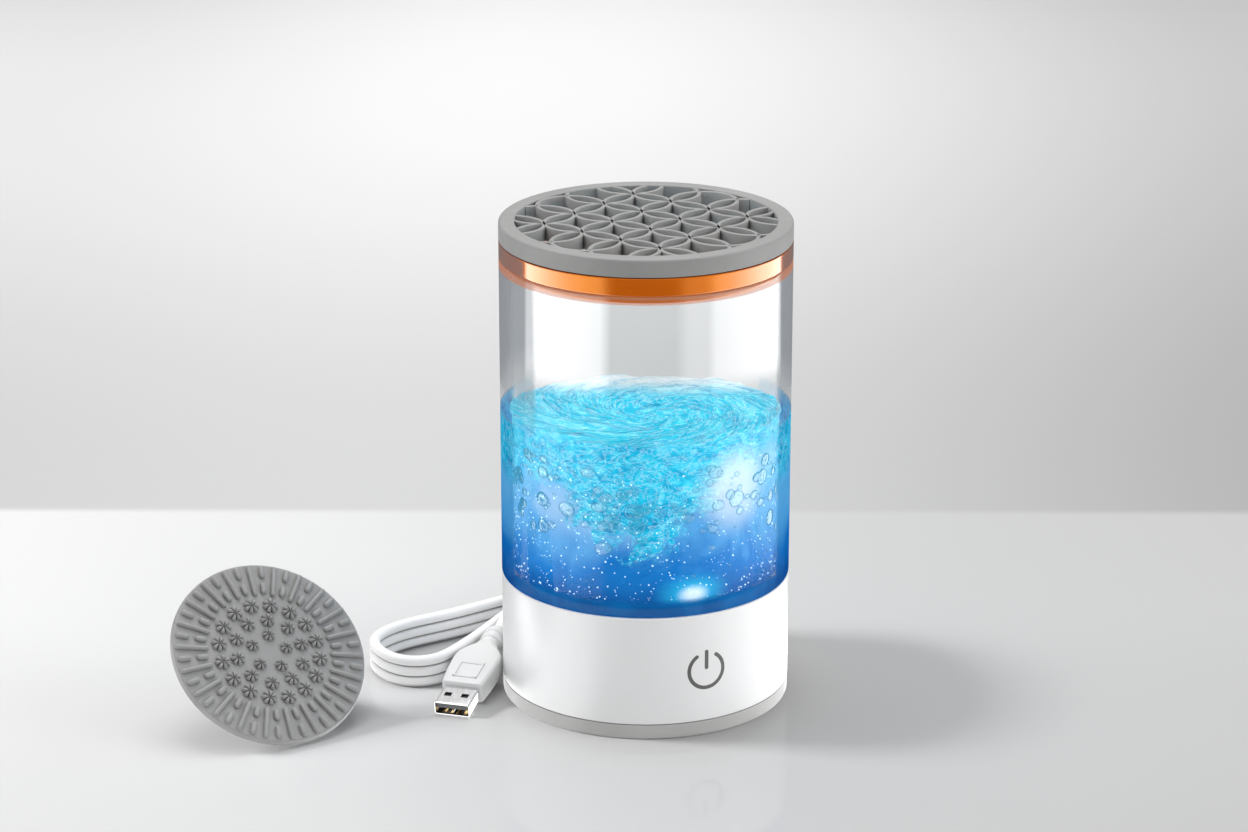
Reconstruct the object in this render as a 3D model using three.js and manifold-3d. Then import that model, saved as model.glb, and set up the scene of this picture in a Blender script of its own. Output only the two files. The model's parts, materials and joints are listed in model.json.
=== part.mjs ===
// Electric brush cleaner: a motor base, a lift-off cup with its own drive spindle, an amber collar,
// a silicone brush holder, a scrub pad that plugs onto the spindle, and a USB lead laid in a hank.
// Millimetres, +Z up. The origin is on the table, under the axis of the cup.

import * as THREE from 'three';
import { mergeVertices } from 'three/addons/utils/BufferGeometryUtils.js';
import Module from 'manifold-3d';

const wasm = await Module();
wasm.setup();

// ---- Driving dimensions ----------------------------------------------------------------------

const BODY_R = 47.5;          // outside radius of base, cup, collar and holder
const FOOT_TOP = 4.9;
const BASE_TOP = 41.75;
const CUP_TOP = 148.85;
const COLLAR_TOP = 154.85;
const TOTAL_HEIGHT = 161;
const GAP = 0.3;              // left between neighbouring pieces
const ROUND = 48;             // facets of the large turned pieces
const SMALL_ROUND = 16;       // facets of the small turned pieces

const SHELL_WALL = 2.2;
const DECK_TOP = 31;
const DECK_THICKNESS = 2.4;
const FLOOR_TOP = 43.6;       // inside of the cup's floor
const CUP_INNER_R = 44.7;
const HUB_R = 8;              // tower round the spindle in the cup's floor
const HUB_BORE_R = 4.9;

const SHAFT_R = 1;
const SPINDLE_R = 2;
const MOTOR_R = 12.2;
const MOTOR_BOTTOM = 14.2;
const MOTOR_TOP = 26.5;
const DOG_COUNT = 3;

const COVER_SCREW_R = 38;     // pitch radius of the four cover screws
const MOTOR_SCREW_X = 6;
const SYMBOL_TURN = 24.6 * Math.PI / 180;   // the touch key is this far round from the front
const SYMBOL_Z = 22.6;
const SYMBOL_LINE = 1.25;

const GRID_PITCH = 15.5;      // spacing of the rings in the brush holder
const GRID_TURN = -37.5 * Math.PI / 180;
const GRID_RIB = 1.4;
const GRID_HALF = 2;          // rings run from -2 to 2 both ways
const RIM_INNER_R = 42.3;

const PAD_R = 32.7;
const PAD_THICKNESS = 2.6;
const PAD_TILT = 42.3 * Math.PI / 180;
const PAD_TURN = 33 * Math.PI / 180;
const PAD_PLACE = [-122, -32.3];
const STEM_R = 12;            // socket that slips over the drive head

const CORD_R = 1.8;
const CORD_PITCH = 3.65;      // height of one turn of the hank
const EXIT = { x: 6, y: 47.5, z: 12 };
const PLUG = { x: -63.3, y: -28.8, z: 2.3, turn: -15.8, rise: 10 };

// ---- Materials -------------------------------------------------------------------------------

const material = (color, roughness, metalness = 0, opacity = 1) => new THREE.MeshStandardMaterial({
  color, roughness, metalness, opacity, transparent: opacity < 1,
});

const WHITE = material(0xf4f5f5, 0.25);
const GREY_RUBBER = material(0xa6a6a4, 0.6);
const GREY_SILICONE = material(0xadadab, 0.55);
const CLEAR = material(0xe6eef2, 0.05, 0, 0.3);
const AMBER = material(0xe8862a, 0.15, 0, 0.85);
const DARK = material(0x5f5f5f, 0.4);
const BLACK = material(0x1b1b1c, 0.5);
const STEEL = material(0xc9cbcd, 0.25, 1);
const BRASS = material(0xc8a04a, 0.35, 1);
const COPPER = material(0xb5652f, 0.4, 0.8);
const BOARD = material(0x1f6b3c, 0.5);
const RED = material(0xb3261f, 0.45);
const CORD_WHITE = material(0xf2f2f2, 0.35);

// ---- Shape helpers ---------------------------------------------------------------------------

const rad = (degrees) => degrees * Math.PI / 180;

/** Position-only copy of a geometry with shared vertices merged and empty triangles left out. */
function welded(geometry) {
  const bare = geometry.clone();
  bare.deleteAttribute('normal');
  bare.deleteAttribute('uv');
  const merged = mergeVertices(bare, 1e-4);
  const index = merged.index.array;
  const kept = [];
  for (let i = 0; i < index.length; i += 3) {
    const [a, b, c] = [index[i], index[i + 1], index[i + 2]];
    if (a !== b && b !== c && c !== a) kept.push(a, b, c);
  }
  merged.setIndex(kept);
  return merged;
}

function solid(geometry) {
  const { index, attributes } = welded(geometry);
  return new wasm.Manifold(new wasm.Mesh({
    numProp: 3,
    vertProperties: new Float32Array(attributes.position.array),
    triVerts: new Uint32Array(index.array),
  }));
}

function geometryOf(manifold) {
  const mesh = manifold.getMesh();
  const geometry = new THREE.BufferGeometry();
  geometry.setAttribute('position', new THREE.BufferAttribute(mesh.vertProperties, mesh.numProp));
  geometry.setIndex(new THREE.BufferAttribute(mesh.triVerts, 1));
  return geometry;
}

const joined = (...geometries) => geometryOf(geometries.map(solid).reduce((all, one) => all.add(one)));

const cut = (body, ...tools) => geometryOf(tools.map(solid).reduce((rest, one) => rest.subtract(one), solid(body)));

/** A body turned about Z. The profile lists [radius, height] anticlockwise, and closes on itself. */
function turned(profile, segments = ROUND) {
  const points = [...profile, profile[0]].map(([r, z]) => new THREE.Vector2(r, z));
  const geometry = new THREE.LatheGeometry(points, segments);
  geometry.rotateX(Math.PI / 2);
  return welded(geometry);
}

/** A ring of rectangular section. */
const ring = (inner, outer, bottom, top, segments = ROUND) => (
  turned([[inner, bottom], [outer, bottom], [outer, top], [inner, top]], segments));

const disc = (radius, bottom, top, segments = ROUND) => {
  const geometry = new THREE.CylinderGeometry(radius, radius, top - bottom, segments);
  geometry.rotateX(Math.PI / 2);
  geometry.translate(0, 0, (bottom + top) / 2);
  return welded(geometry);
};

const box = (width, depth, height, x, y, z) => (
  welded(new THREE.BoxGeometry(width, depth, height).translate(x, y, z)));

function prism(shape, bottom, top, curveSegments = 8) {
  const geometry = new THREE.ExtrudeGeometry(shape, {
    depth: top - bottom, bevelEnabled: false, curveSegments,
  });
  return welded(geometry.translate(0, 0, bottom));
}

const shapeOf = (points) => new THREE.Shape(points.map(([x, y]) => new THREE.Vector2(x, y)));

/** The outline of a ring sector, used for magnets, coupling dogs and the key's symbol. */
function sector(inner, outer, from, to, steps = 8) {
  const arc = (radius, a, b) => Array.from({ length: steps + 1 }, (_, i) => {
    const angle = a + (b - a) * i / steps;
    return [radius * Math.cos(angle), radius * Math.sin(angle)];
  });
  return shapeOf([...arc(outer, from, to), ...arc(inner, to, from)]);
}

/** A round tube along hand-placed points. */
function tube(points, radius, steps, sides = 8) {
  const section = new THREE.Shape(Array.from({ length: sides }, (_, i) => {
    const angle = 2 * Math.PI * i / sides;
    return new THREE.Vector2(radius * Math.cos(angle), radius * Math.sin(angle));
  }));
  const extrudePath = new THREE.CatmullRomCurve3(points.map((p) => new THREE.Vector3(...p)), false, 'centripetal');
  return welded(new THREE.ExtrudeGeometry(section, { steps, extrudePath, bevelEnabled: false }));
}

const moved = (geometry, x, y, z = 0) => geometry.clone().translate(x, y, z);

const spun = (geometry, angle) => geometry.clone().rotateZ(angle);

const group = new THREE.Group();
const mechanism = new THREE.Group();
group.add(mechanism);

function add(name, geometry, look, parent = mechanism) {
  const mesh = new THREE.Mesh(geometry, look);
  mesh.name = name;
  parent.add(mesh);
  return mesh;
}

// ---- Base housing ----------------------------------------------------------------------------

const SHELL_BOTTOM = FOOT_TOP + GAP;
const SHELL_INNER_R = BODY_R - SHELL_WALL;
const DECK_BOTTOM = DECK_TOP - DECK_THICKNESS;
const COVER_BOTTOM = 1.8;
const COVER_TOP = 4.2;
const BOSS_R = 3.4;
const SCREW_R = 1.25;
const screwAngles = [45, 135, 225, 315].map(rad);
const onCircle = (radius, angle) => [radius * Math.cos(angle), radius * Math.sin(angle)];

/** The power symbol in its own plane: X across, Y up, centred on the touch key. */
function symbolShapes(grow) {
  const radius = 6;
  const half = SYMBOL_LINE / 2 + grow;
  const opening = rad(34) - grow / radius;
  const arc = sector(radius - half, radius + half, Math.PI / 2 + opening, 5 * Math.PI / 2 - opening, 28);
  const bar = shapeOf([[-half, 0.3 - grow], [half, 0.3 - grow], [half, 7 + grow], [-half, 7 + grow]]);
  return { arc, bar };
}

/** Stands a flat outline up on the shell's wall at the touch key, between two radii. */
function onWall(shape, innerRadius, outerRadius) {
  const geometry = prism(shape, innerRadius, outerRadius);
  geometry.rotateX(Math.PI / 2);
  geometry.translate(0, 0, SYMBOL_Z);
  return geometry.rotateZ(SYMBOL_TURN);
}

function baseShell() {
  const shell = turned([
    [BODY_R, SHELL_BOTTOM], [BODY_R, BASE_TOP - 0.5], [BODY_R - 0.5, BASE_TOP], [SHELL_INNER_R, BASE_TOP],
    [SHELL_INNER_R, DECK_TOP], [4, DECK_TOP], [4, DECK_BOTTOM], [SHELL_INNER_R, DECK_BOTTOM],
    [SHELL_INNER_R, SHELL_BOTTOM],
  ]);
  const bosses = screwAngles.map((angle) => moved(disc(BOSS_R, COVER_TOP + GAP, DECK_BOTTOM + 1, SMALL_ROUND),
    ...onCircle(COVER_SCREW_R, angle)));
  const pilotHoles = screwAngles.map((angle) => moved(disc(SCREW_R + GAP, 0, 18, SMALL_ROUND),
    ...onCircle(COVER_SCREW_R, angle)));
  const motorHoles = [-MOTOR_SCREW_X, MOTOR_SCREW_X].flatMap((x) => [
    moved(disc(1.2, DECK_BOTTOM - 1, DECK_TOP + 1, SMALL_ROUND), x, 0),
    moved(disc(2.3, DECK_TOP - 1.1, DECK_TOP + 1, SMALL_ROUND), x, 0),
  ]);
  const cordHole = moved(disc(3, 0, 12, SMALL_ROUND).rotateX(-Math.PI / 2), EXIT.x, 40, EXIT.z);
  const { arc, bar } = symbolShapes(0.12);
  const pockets = [arc, bar].map((shape) => onWall(shape, BODY_R - 1, BODY_R + 1));
  return cut(joined(shell, ...bosses), ...pilotHoles, ...motorHoles, cordHole, ...pockets);
}

/** A symbol inlay, trimmed to the shell's round outside. */
function inlay(shape) {
  const bar = solid(onWall(shape, BODY_R - 0.8, BODY_R + 1));
  return geometryOf(bar.intersect(solid(ring(BODY_R - 4, BODY_R, 5, 40))));
}

function bottomCover() {
  const plate = disc(SHELL_INNER_R - GAP, COVER_BOTTOM, COVER_TOP);
  const holes = screwAngles.flatMap((angle) => [
    moved(disc(SCREW_R + GAP, 0, 6, SMALL_ROUND), ...onCircle(COVER_SCREW_R, angle)),
    moved(disc(3, 0, COVER_BOTTOM + 1.4, SMALL_ROUND), ...onCircle(COVER_SCREW_R, angle)),
  ]);
  const posts = BOARD_SCREWS.map(([x, y]) => moved(disc(2.4, COVER_TOP - 1, BOARD_Z - GAP, SMALL_ROUND), x, y));
  const bores = BOARD_SCREWS.map(([x, y]) => moved(disc(1.05, COVER_TOP - 1, BOARD_Z, SMALL_ROUND), x, y));
  return cut(joined(plate, ...posts), ...holes, ...bores);
}

function screw(headRadius, headBottom, headTop, shankRadius, shankBottom, shankTop) {
  const head = disc(headRadius, headBottom, headTop, SMALL_ROUND);
  const shank = disc(shankRadius, shankBottom, shankTop, SMALL_ROUND / 2);
  return joined(head, shank);
}

const BOARD_Z = 7.6;
const BOARD_THICKNESS = 1.2;
const BOARD_SCREWS = [[-16, 24], [16, 24]];

add('non_slip_foot', turned([
  [0, 0], [BODY_R - 0.07, 0], [BODY_R - 0.07, FOOT_TOP], [SHELL_INNER_R, FOOT_TOP], [SHELL_INNER_R, 1.5], [0, 1.5],
]), GREY_RUBBER);
add('bottom_cover', bottomCover(), WHITE);
screwAngles.forEach((angle, i) => {
  const body = screw(2.6, COVER_BOTTOM + 0.2, COVER_BOTTOM + 1.1, SCREW_R, COVER_BOTTOM + 1, 14);
  add(`cover_screw_${i + 1}`, moved(body, ...onCircle(COVER_SCREW_R, angle)), STEEL);
});
add('base_shell', baseShell(), WHITE);
add('cup_seat_gasket', ring(42.8, 45, DECK_TOP + GAP, DECK_TOP + 1.5), GREY_SILICONE);
const symbol = symbolShapes(0);
add('power_mark_ring', inlay(symbol.arc), DARK);
add('power_mark_bar', inlay(symbol.bar), DARK);

// ---- Motor and its drive ---------------------------------------------------------------------

function armature() {
  const core = disc(3.2, 17, 24, SMALL_ROUND);
  const poles = [0, 1, 2].flatMap((i) => [
    spun(box(6, 2.4, 7, 5, 0, 20.5), rad(120 * i)),
    spun(prism(sector(7.4, 8.9, rad(-46), rad(46)), 17, 24), rad(120 * i)),
  ]);
  const commutator = disc(2.6, 15.9, 17.5, SMALL_ROUND);
  return cut(joined(core, ...poles, commutator), disc(SHAFT_R + GAP, 15, 25, SMALL_ROUND));
}

/** A coupling half: a round flange with dogs that push on the other half's dogs. */
function coupler(flangeBottom, flangeTop, dogBottom, dogTop, boreRadius, firstAngle) {
  const flange = ring(boreRadius, 7.4, flangeBottom, flangeTop, SMALL_ROUND);
  const dogs = Array.from({ length: DOG_COUNT }, (_, i) => {
    const middle = firstAngle + 2 * Math.PI * i / DOG_COUNT;
    return prism(sector(4, 7.2, middle - rad(22), middle + rad(22)), dogBottom, dogTop);
  });
  return joined(flange, ...dogs);
}

const motorScrews = [-MOTOR_SCREW_X, MOTOR_SCREW_X];
const can = turned([
  [SHAFT_R + GAP, MOTOR_TOP - 0.7], [11.6, MOTOR_TOP - 0.7], [11.6, MOTOR_BOTTOM], [MOTOR_R, MOTOR_BOTTOM],
  [MOTOR_R, MOTOR_TOP], [3, MOTOR_TOP], [3, MOTOR_TOP + 1.5], [SHAFT_R + GAP, MOTOR_TOP + 1.5],
], 32);
const throughCan = motorScrews.map((x) => moved(disc(1.15, MOTOR_TOP - 2, MOTOR_TOP + 3, SMALL_ROUND), x, 0));
add('motor_can', cut(can, ...throughCan), STEEL);
add('motor_end_cap', turned([
  [SHAFT_R + GAP, 12.6], [2.8, 12.6], [2.8, 14], [11.3, 14], [11.3, 15.4], [SHAFT_R + GAP, 15.4],
], 32), BLACK);
['left', 'right'].forEach((side, i) => {
  const middle = Math.PI * (1 - i);
  add(`motor_magnet_${side}`, prism(sector(9.4, 11.3, middle - rad(60), middle + rad(60), 12), 16.4, 25), BLACK);
});
add('motor_armature', armature(), COPPER);
add('motor_shaft', disc(SHAFT_R, 13, 35.6, SMALL_ROUND), STEEL);
add('motor_damper', cut(ring(3.3, 11.6, MOTOR_TOP + GAP, DECK_BOTTOM - GAP, 32), ...throughCan), BLACK);
motorScrews.forEach((x, i) => {
  const body = screw(2, DECK_TOP - 0.9, DECK_TOP, 0.85, 24.6, DECK_TOP - 0.5);
  add(`motor_screw_${i + 1}`, moved(body, x, 0), STEEL);
});
add('lower_coupler', coupler(31.6, 33.6, 33.4, 35.1, SHAFT_R + GAP, 0), BLACK);

// ---- Electronics -----------------------------------------------------------------------------

const boardTop = BOARD_Z + BOARD_THICKNESS;
const boardHoles = BOARD_SCREWS.map(([x, y]) => moved(disc(1.05, BOARD_Z - 1, boardTop + 1, SMALL_ROUND), x, y));
add('main_board', cut(box(40, 18, BOARD_THICKNESS, 0, 24, BOARD_Z + BOARD_THICKNESS / 2), ...boardHoles), BOARD);
BOARD_SCREWS.forEach(([x, y], i) => {
  const body = screw(1.7, boardTop + GAP, boardTop + 1.2, 0.75, COVER_TOP + 0.4, boardTop + 0.6);
  add(`board_screw_${i + 1}`, moved(body, x, y), STEEL);
});
add('driver_chip', box(5, 6, 1.6, -6, 26, boardTop + GAP + 0.8), BLACK);
add('board_capacitor', moved(disc(3, boardTop + GAP, boardTop + 7.5, SMALL_ROUND), 6.5, 19.5), BLACK);

/** Turns a piece made at the front (facing -Y) round to the touch key. */
const atKey = (geometry) => geometry.rotateZ(SYMBOL_TURN);
add('touch_board', atKey(box(17, 1.2, 15, 0, -39.3, 20.5)), BOARD);
add('touch_electrode', atKey(moved(disc(4.4, 0, 3.6, SMALL_ROUND).rotateX(Math.PI / 2), 0, -40.2, SYMBOL_Z)), STEEL);

const keyX = 39.3 * Math.sin(SYMBOL_TURN);
const keyY = -38 * Math.cos(SYMBOL_TURN);
add('touch_lead', tube([
  [keyX - 3.1, keyY + 2.4, 17], [16, -27, 9], [20, -8, 6.4], [20.5, 6, 6.6], [19, 12, 9.4], [16.5, 17, 9.6],
], 0.55, 14), DARK);
add('motor_lead_red', tube([[-7.5, 2, 13.4], [-9, 5, 10.4], [-10, 10, 9.6], [-9, 17.5, 9.7]], 0.6, 8), RED);
add('motor_lead_black', tube([[7.5, 2, 13.4], [6.5, 5, 10.4], [2, 10, 9.6], [-3, 17.5, 9.7]], 0.6, 8), BLACK);
add('supply_lead', tube([[EXIT.x, 40.9, EXIT.z], [EXIT.x + 0.4, 37, 11.6], [EXIT.x + 2, 33, 10.5], [10, 29.5, 10.2]],
  1.1, 7), CORD_WHITE);

// ---- Cup with its spindle --------------------------------------------------------------------

const SKIRT_BOTTOM = 32.8;
add('cup', turned([
  [HUB_BORE_R, 39.2], [HUB_R, 39.2], [HUB_R, 41], [42.6, 41], [42.6, SKIRT_BOTTOM], [SHELL_INNER_R - GAP, SKIRT_BOTTOM],
  [SHELL_INNER_R - GAP, BASE_TOP + GAP], [BODY_R, BASE_TOP + GAP], [BODY_R, CUP_TOP], [CUP_INNER_R, CUP_TOP],
  [CUP_INNER_R, FLOOR_TOP], [HUB_R, FLOOR_TOP], [HUB_R, 48.5], [HUB_BORE_R, 48.5],
]), CLEAR);
add('spindle_bush', turned([
  [SPINDLE_R + GAP, 38.1], [6.4, 38.1], [6.4, 38.9], [HUB_BORE_R - GAP, 38.9], [HUB_BORE_R - GAP, 45.8],
  [SPINDLE_R + GAP, 45.8],
], SMALL_ROUND), BRASS);
add('shaft_seal', ring(SPINDLE_R + GAP, HUB_BORE_R - GAP, 46.1, 48.2, SMALL_ROUND), BLACK);
add('spindle', disc(SPINDLE_R, 35.9, 58, SMALL_ROUND), STEEL);
add('retaining_clip', cut(ring(SPINDLE_R + GAP, 3.7, 37.3, 37.8, SMALL_ROUND), box(2, 6, 3, 0, -3, 37.5)), STEEL);
add('upper_coupler', coupler(35.4, 37, 33.9, 35.6, SPINDLE_R + GAP, rad(60)), BLACK);

/** Splined head on the spindle; the pad's socket slips over it. */
function driveHead() {
  const core = turned([
    [0, 60.2], [0, 58.3], [SPINDLE_R + GAP, 58.3], [SPINDLE_R + GAP, 48.9], [6, 48.9], [6, 59.2], [5, 60.2],
  ], SMALL_ROUND);
  const splines = [0, 1, 2, 3].map((i) => spun(box(16.4, 2, 9, 0, 0, 53.6), rad(45 * i)));
  const bore = disc(SPINDLE_R + GAP, 47, 58.3, SMALL_ROUND);
  return cut(joined(core, ...splines), bore);
}
add('drive_head', driveHead(), WHITE);

// ---- Collar and brush holder -----------------------------------------------------------------

const COLLAR_INNER_R = 41.5;
add('collar_ring', turned([
  [COLLAR_INNER_R, 146], [44.2, 146], [44.2, 146.6], [43, 146.6], [43, 148], [44.2, 148], [44.2, CUP_TOP + GAP],
  [BODY_R, CUP_TOP + GAP], [BODY_R, COLLAR_TOP], [45.2, COLLAR_TOP], [45.2, 158], [43.3, 158], [43.3, COLLAR_TOP],
  [COLLAR_INNER_R, COLLAR_TOP],
]), AMBER);
add('collar_seal', ring(43.3, 44.4, 146.9, 147.7), GREY_SILICONE);

/** Thin rings on a square lattice, each running through the centres of the squares beside it. */
function holderGrid() {
  const radius = GRID_PITCH / Math.SQRT2;
  const rings = [];
  for (let i = -GRID_HALF; i <= GRID_HALF; i += 1) {
    for (let j = -GRID_HALF; j <= GRID_HALF; j += 1) {
      const hoop = ring(radius - GRID_RIB / 2, radius + GRID_RIB / 2, 156, TOTAL_HEIGHT, SMALL_ROUND);
      rings.push(solid(moved(hoop, i * GRID_PITCH, j * GRID_PITCH).rotateZ(GRID_TURN)));
    }
  }
  return rings.reduce((all, one) => all.add(one));
}

function brushHolder() {
  const bottom = COLLAR_TOP + GAP;
  const rim = turned([
    [RIM_INNER_R, bottom], [43, bottom], [43, 158.3], [45.5, 158.3], [45.5, bottom], [BODY_R, bottom],
    [BODY_R, TOTAL_HEIGHT - 0.6], [BODY_R - 0.6, TOTAL_HEIGHT], [RIM_INNER_R, TOTAL_HEIGHT],
  ]);
  const inside = solid(disc(RIM_INNER_R + 0.35, 155, TOTAL_HEIGHT));
  return geometryOf(holderGrid().intersect(inside).add(solid(rim)));
}
add('brush_holder', brushHolder(), GREY_SILICONE);

// ---- Scrub pad, leaning on its rim and its socket --------------------------------------------

const padGroup = new THREE.Group();
const padStand = new THREE.Group();
const padHeight = PAD_R * Math.sin(PAD_TILT) + PAD_THICKNESS * Math.cos(PAD_TILT) + 0.05;
padGroup.position.set(...PAD_PLACE, padHeight);
padGroup.rotation.z = PAD_TURN;
padStand.rotation.x = PAD_TILT;
padGroup.add(padStand);
group.add(padGroup);

/** The disc with long ribs round its edge, a pair of short ribs between them, and inner studs. */
function scrubPad() {
  const ribs = [];
  const ribCount = 22;
  const ribHeight = 1.1;
  const ribBottom = -0.4;
  const rib = (from, to, angle) => spun(box(to - from, 1.1, ribHeight - ribBottom, (from + to) / 2, 0,
    (ribHeight + ribBottom) / 2), angle);
  for (let i = 0; i < ribCount; i += 1) {
    const angle = 2 * Math.PI * i / ribCount;
    const between = angle + Math.PI / ribCount;
    ribs.push(rib(20.5, PAD_R - 1, angle), rib(21.5, 25, between), rib(27, PAD_R - 1.6, between));
  }
  const studs = [[17, 16], [11.5, 10], [6, 5]].flatMap(([radius, count]) => (
    Array.from({ length: count }, (_, i) => moved(disc(1.2, ribBottom, ribHeight, 6),
      ...onCircle(radius, 2 * Math.PI * i / count)))));
  return joined(disc(PAD_R, -PAD_THICKNESS, 0), ...ribs, ...studs);
}

function padCarrier() {
  const top = -PAD_THICKNESS - GAP;
  const stemLength = (PAD_R - STEM_R) * Math.tan(PAD_TILT) + PAD_THICKNESS;
  return turned([
    [0, top], [0, top - 1.6], [9, top - 1.6], [9, -stemLength], [STEM_R, -stemLength], [STEM_R, top - 1.6],
    [20, top - 1.6], [20, top],
  ], 32);
}
add('scrub_pad', scrubPad(), GREY_SILICONE, padStand);
add('pad_socket', padCarrier(), GREY_SILICONE, padStand);

// ---- Lead: strain relief, first stretch, hank, last stretch and plug --------------------------

const RELIEF_LENGTH = 15;
const reliefSection = [
  [0, -6.4], [3.9, -6.4], [3.9, -5], [2.7, -5], [2.7, 0.9], [3.9, 0.9], [3.5, 4], [2.3, RELIEF_LENGTH], [0, RELIEF_LENGTH],
];
add('strain_relief', turned(reliefSection, SMALL_ROUND).rotateX(-Math.PI / 2)
  .translate(EXIT.x, EXIT.y, EXIT.z), CORD_WHITE);

const reliefTip = EXIT.y + RELIEF_LENGTH + GAP;
add('cord_first_stretch', tube([
  [EXIT.x, reliefTip, EXIT.z], [EXIT.x, 64.4, 11.85], [EXIT.x, 66.6, 10.4], [5.6, 70.5, 7], [3.6, 75.6, 3.9], [-0.8, 79.6, 2.3],
  [-5, 81, 1.9], [-10, 80.9, 1.85],
], CORD_R, 12), CORD_WHITE);

/** The middle of one turn of the hank, seen from above. */
const HANK_TURN = [
  [-20, 73.6], [-30, 66], [-49.6, 51.1], [-67.9, 37.9], [-82, 29], [-89.5, 21], [-91.9, 13], [-89.6, 5.8],
  [-85.8, 0.1], [-82.4, -2.8], [-78.1, -4.2], [-73.7, -3.9], [-69.6, -1.9], [-66.7, 1.5], [-57.4, 18.1],
  [-50.3, 33.4], [-45.6, 42.4], [-37.4, 49.4], [-25.5, 52.5], [-12.8, 52.8], [-7, 54.4], [-2.8, 58.6],
  [-1.2, 64.4], [-2.8, 70.2], [-7, 74.5], [-12.8, 76], [-16.6, 75.4],
];

function hank() {
  const middle = new THREE.CatmullRomCurve3(HANK_TURN.map(([x, y]) => new THREE.Vector3(x, y, 0)), true);
  const steps = 72;
  const outline = Array.from({ length: steps }, (_, i) => {
    const point = middle.getPointAt(i / steps);
    const along = middle.getTangentAt(i / steps);
    return [point.x + along.y * CORD_R, point.y - along.x * CORD_R];
  });
  return prism(shapeOf(outline), 0.05, 3 * CORD_PITCH + 0.1);
}
add('cord_hank', hank(), CORD_WHITE);

const onTop = 3 * CORD_PITCH + 0.1 + GAP + CORD_R;
add('cord_last_stretch', tube([
  [-12.8, 76, onTop], [-16.6, 75.4, onTop], [-20, 73.6, onTop], [-30, 66, onTop], [-40.5, 56.2, onTop],
  [-45.4, 46.5, onTop], [-47, 38, onTop], [-47.3, 31, 12.8], [-48.3, 24.6, 12], [-49.75, 18.9, 11.05],
], CORD_R, 20), CORD_WHITE);

const plugTurn = new THREE.Group();
const plug = new THREE.Group();
plugTurn.position.set(PLUG.x, PLUG.y, PLUG.z);
plugTurn.rotation.z = rad(PLUG.turn);
plug.rotation.x = rad(PLUG.rise);
plugTurn.add(plug);
group.add(plugTurn);

const SHELL_W = 12;
const SHELL_H = 4.5;
const SHELL_L = 10.6;
const SHEET = 0.35;

/** The plug's metal shell: a folded sheet, open at both ends, with two catch windows each side. */
function plugShell() {
  const outside = box(SHELL_W, SHELL_L, SHELL_H, 0, SHELL_L / 2, 0);
  const inside = box(SHELL_W - 2 * SHEET, SHELL_L + 2, SHELL_H - 2 * SHEET, 0, SHELL_L / 2, 0);
  const windows = [-2.9, 2.9].map((x) => box(2.4, 2.2, SHELL_H + 2, x, 5.4, 0));
  return cut(outside, inside, ...windows);
}

function plugBody() {
  const half = [
    [6.9, SHELL_L + GAP], [7.1, 12.4], [7.9, 20], [8, 28], [7.4, 31.5], [5, 35.6], [3.9, 36.8], [3.9, 38.4],
  ];
  const outline = shapeOf([...half, ...half.map(([x, y]) => [-x, y]).reverse()]);
  const slab = prism(outline, -3.8, 3.8);
  const badge = joined(box(8, 9, 1, 0, 18.4, 3.9), slab);
  return cut(badge, box(6.6, 7.6, 1, 0, 18.4, 4.3));
}

add('plug_shell', plugShell(), STEEL, plug);
add('plug_tongue', box(10.8, SHELL_L - 0.6, 1.6, 0, SHELL_L / 2 + 0.3, 0.75), BLACK, plug);
[-3.5, -1, 1, 3.5].forEach((x, i) => {
  add(`plug_contact_${i + 1}`, box(1, 7.4, 0.25, x, 5.2, -0.48), BRASS, plug);
});
add('plug_body', plugBody(), CORD_WHITE, plug);
const bootStart = 38.4 + GAP;
add('plug_boot', turned([
  [0, bootStart], [3.3, bootStart], [3.3, 41], [3.9, 41.4], [3.9, 43.4], [3.2, 43.8], [3.2, 45], [3.7, 45.4],
  [3.7, 47], [2.6, 47.6], [2.3, 50], [0, 50],
], SMALL_ROUND).rotateX(-Math.PI / 2), CORD_WHITE, plug);

export default group;
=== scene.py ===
"""Looks of the brush cleaner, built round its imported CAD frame. Metres, +Z up, front towards -Y."""

import json
import math
import random
from functools import reduce

import bmesh
import bpy
from mathutils import Matrix, Vector, noise

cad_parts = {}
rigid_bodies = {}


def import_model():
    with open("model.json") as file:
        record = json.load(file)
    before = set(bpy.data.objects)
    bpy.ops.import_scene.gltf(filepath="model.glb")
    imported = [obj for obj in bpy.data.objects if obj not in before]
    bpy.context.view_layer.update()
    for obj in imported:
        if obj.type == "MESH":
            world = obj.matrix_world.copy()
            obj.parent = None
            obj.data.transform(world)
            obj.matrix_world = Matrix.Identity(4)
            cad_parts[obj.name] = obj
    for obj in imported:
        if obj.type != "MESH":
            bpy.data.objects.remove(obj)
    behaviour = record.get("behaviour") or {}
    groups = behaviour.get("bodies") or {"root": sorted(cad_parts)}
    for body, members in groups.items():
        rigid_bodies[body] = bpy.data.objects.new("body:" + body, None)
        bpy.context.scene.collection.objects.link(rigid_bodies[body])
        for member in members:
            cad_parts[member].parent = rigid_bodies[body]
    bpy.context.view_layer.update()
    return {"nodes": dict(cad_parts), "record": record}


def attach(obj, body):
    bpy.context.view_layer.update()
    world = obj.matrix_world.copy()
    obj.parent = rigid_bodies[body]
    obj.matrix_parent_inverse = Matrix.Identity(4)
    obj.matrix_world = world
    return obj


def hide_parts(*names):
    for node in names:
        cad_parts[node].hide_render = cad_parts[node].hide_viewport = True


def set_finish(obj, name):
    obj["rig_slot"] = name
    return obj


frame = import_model()
NODES = frame["nodes"]

# ---- Dimensions, in millimetres as in the CAD part --------------------------------------------

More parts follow.
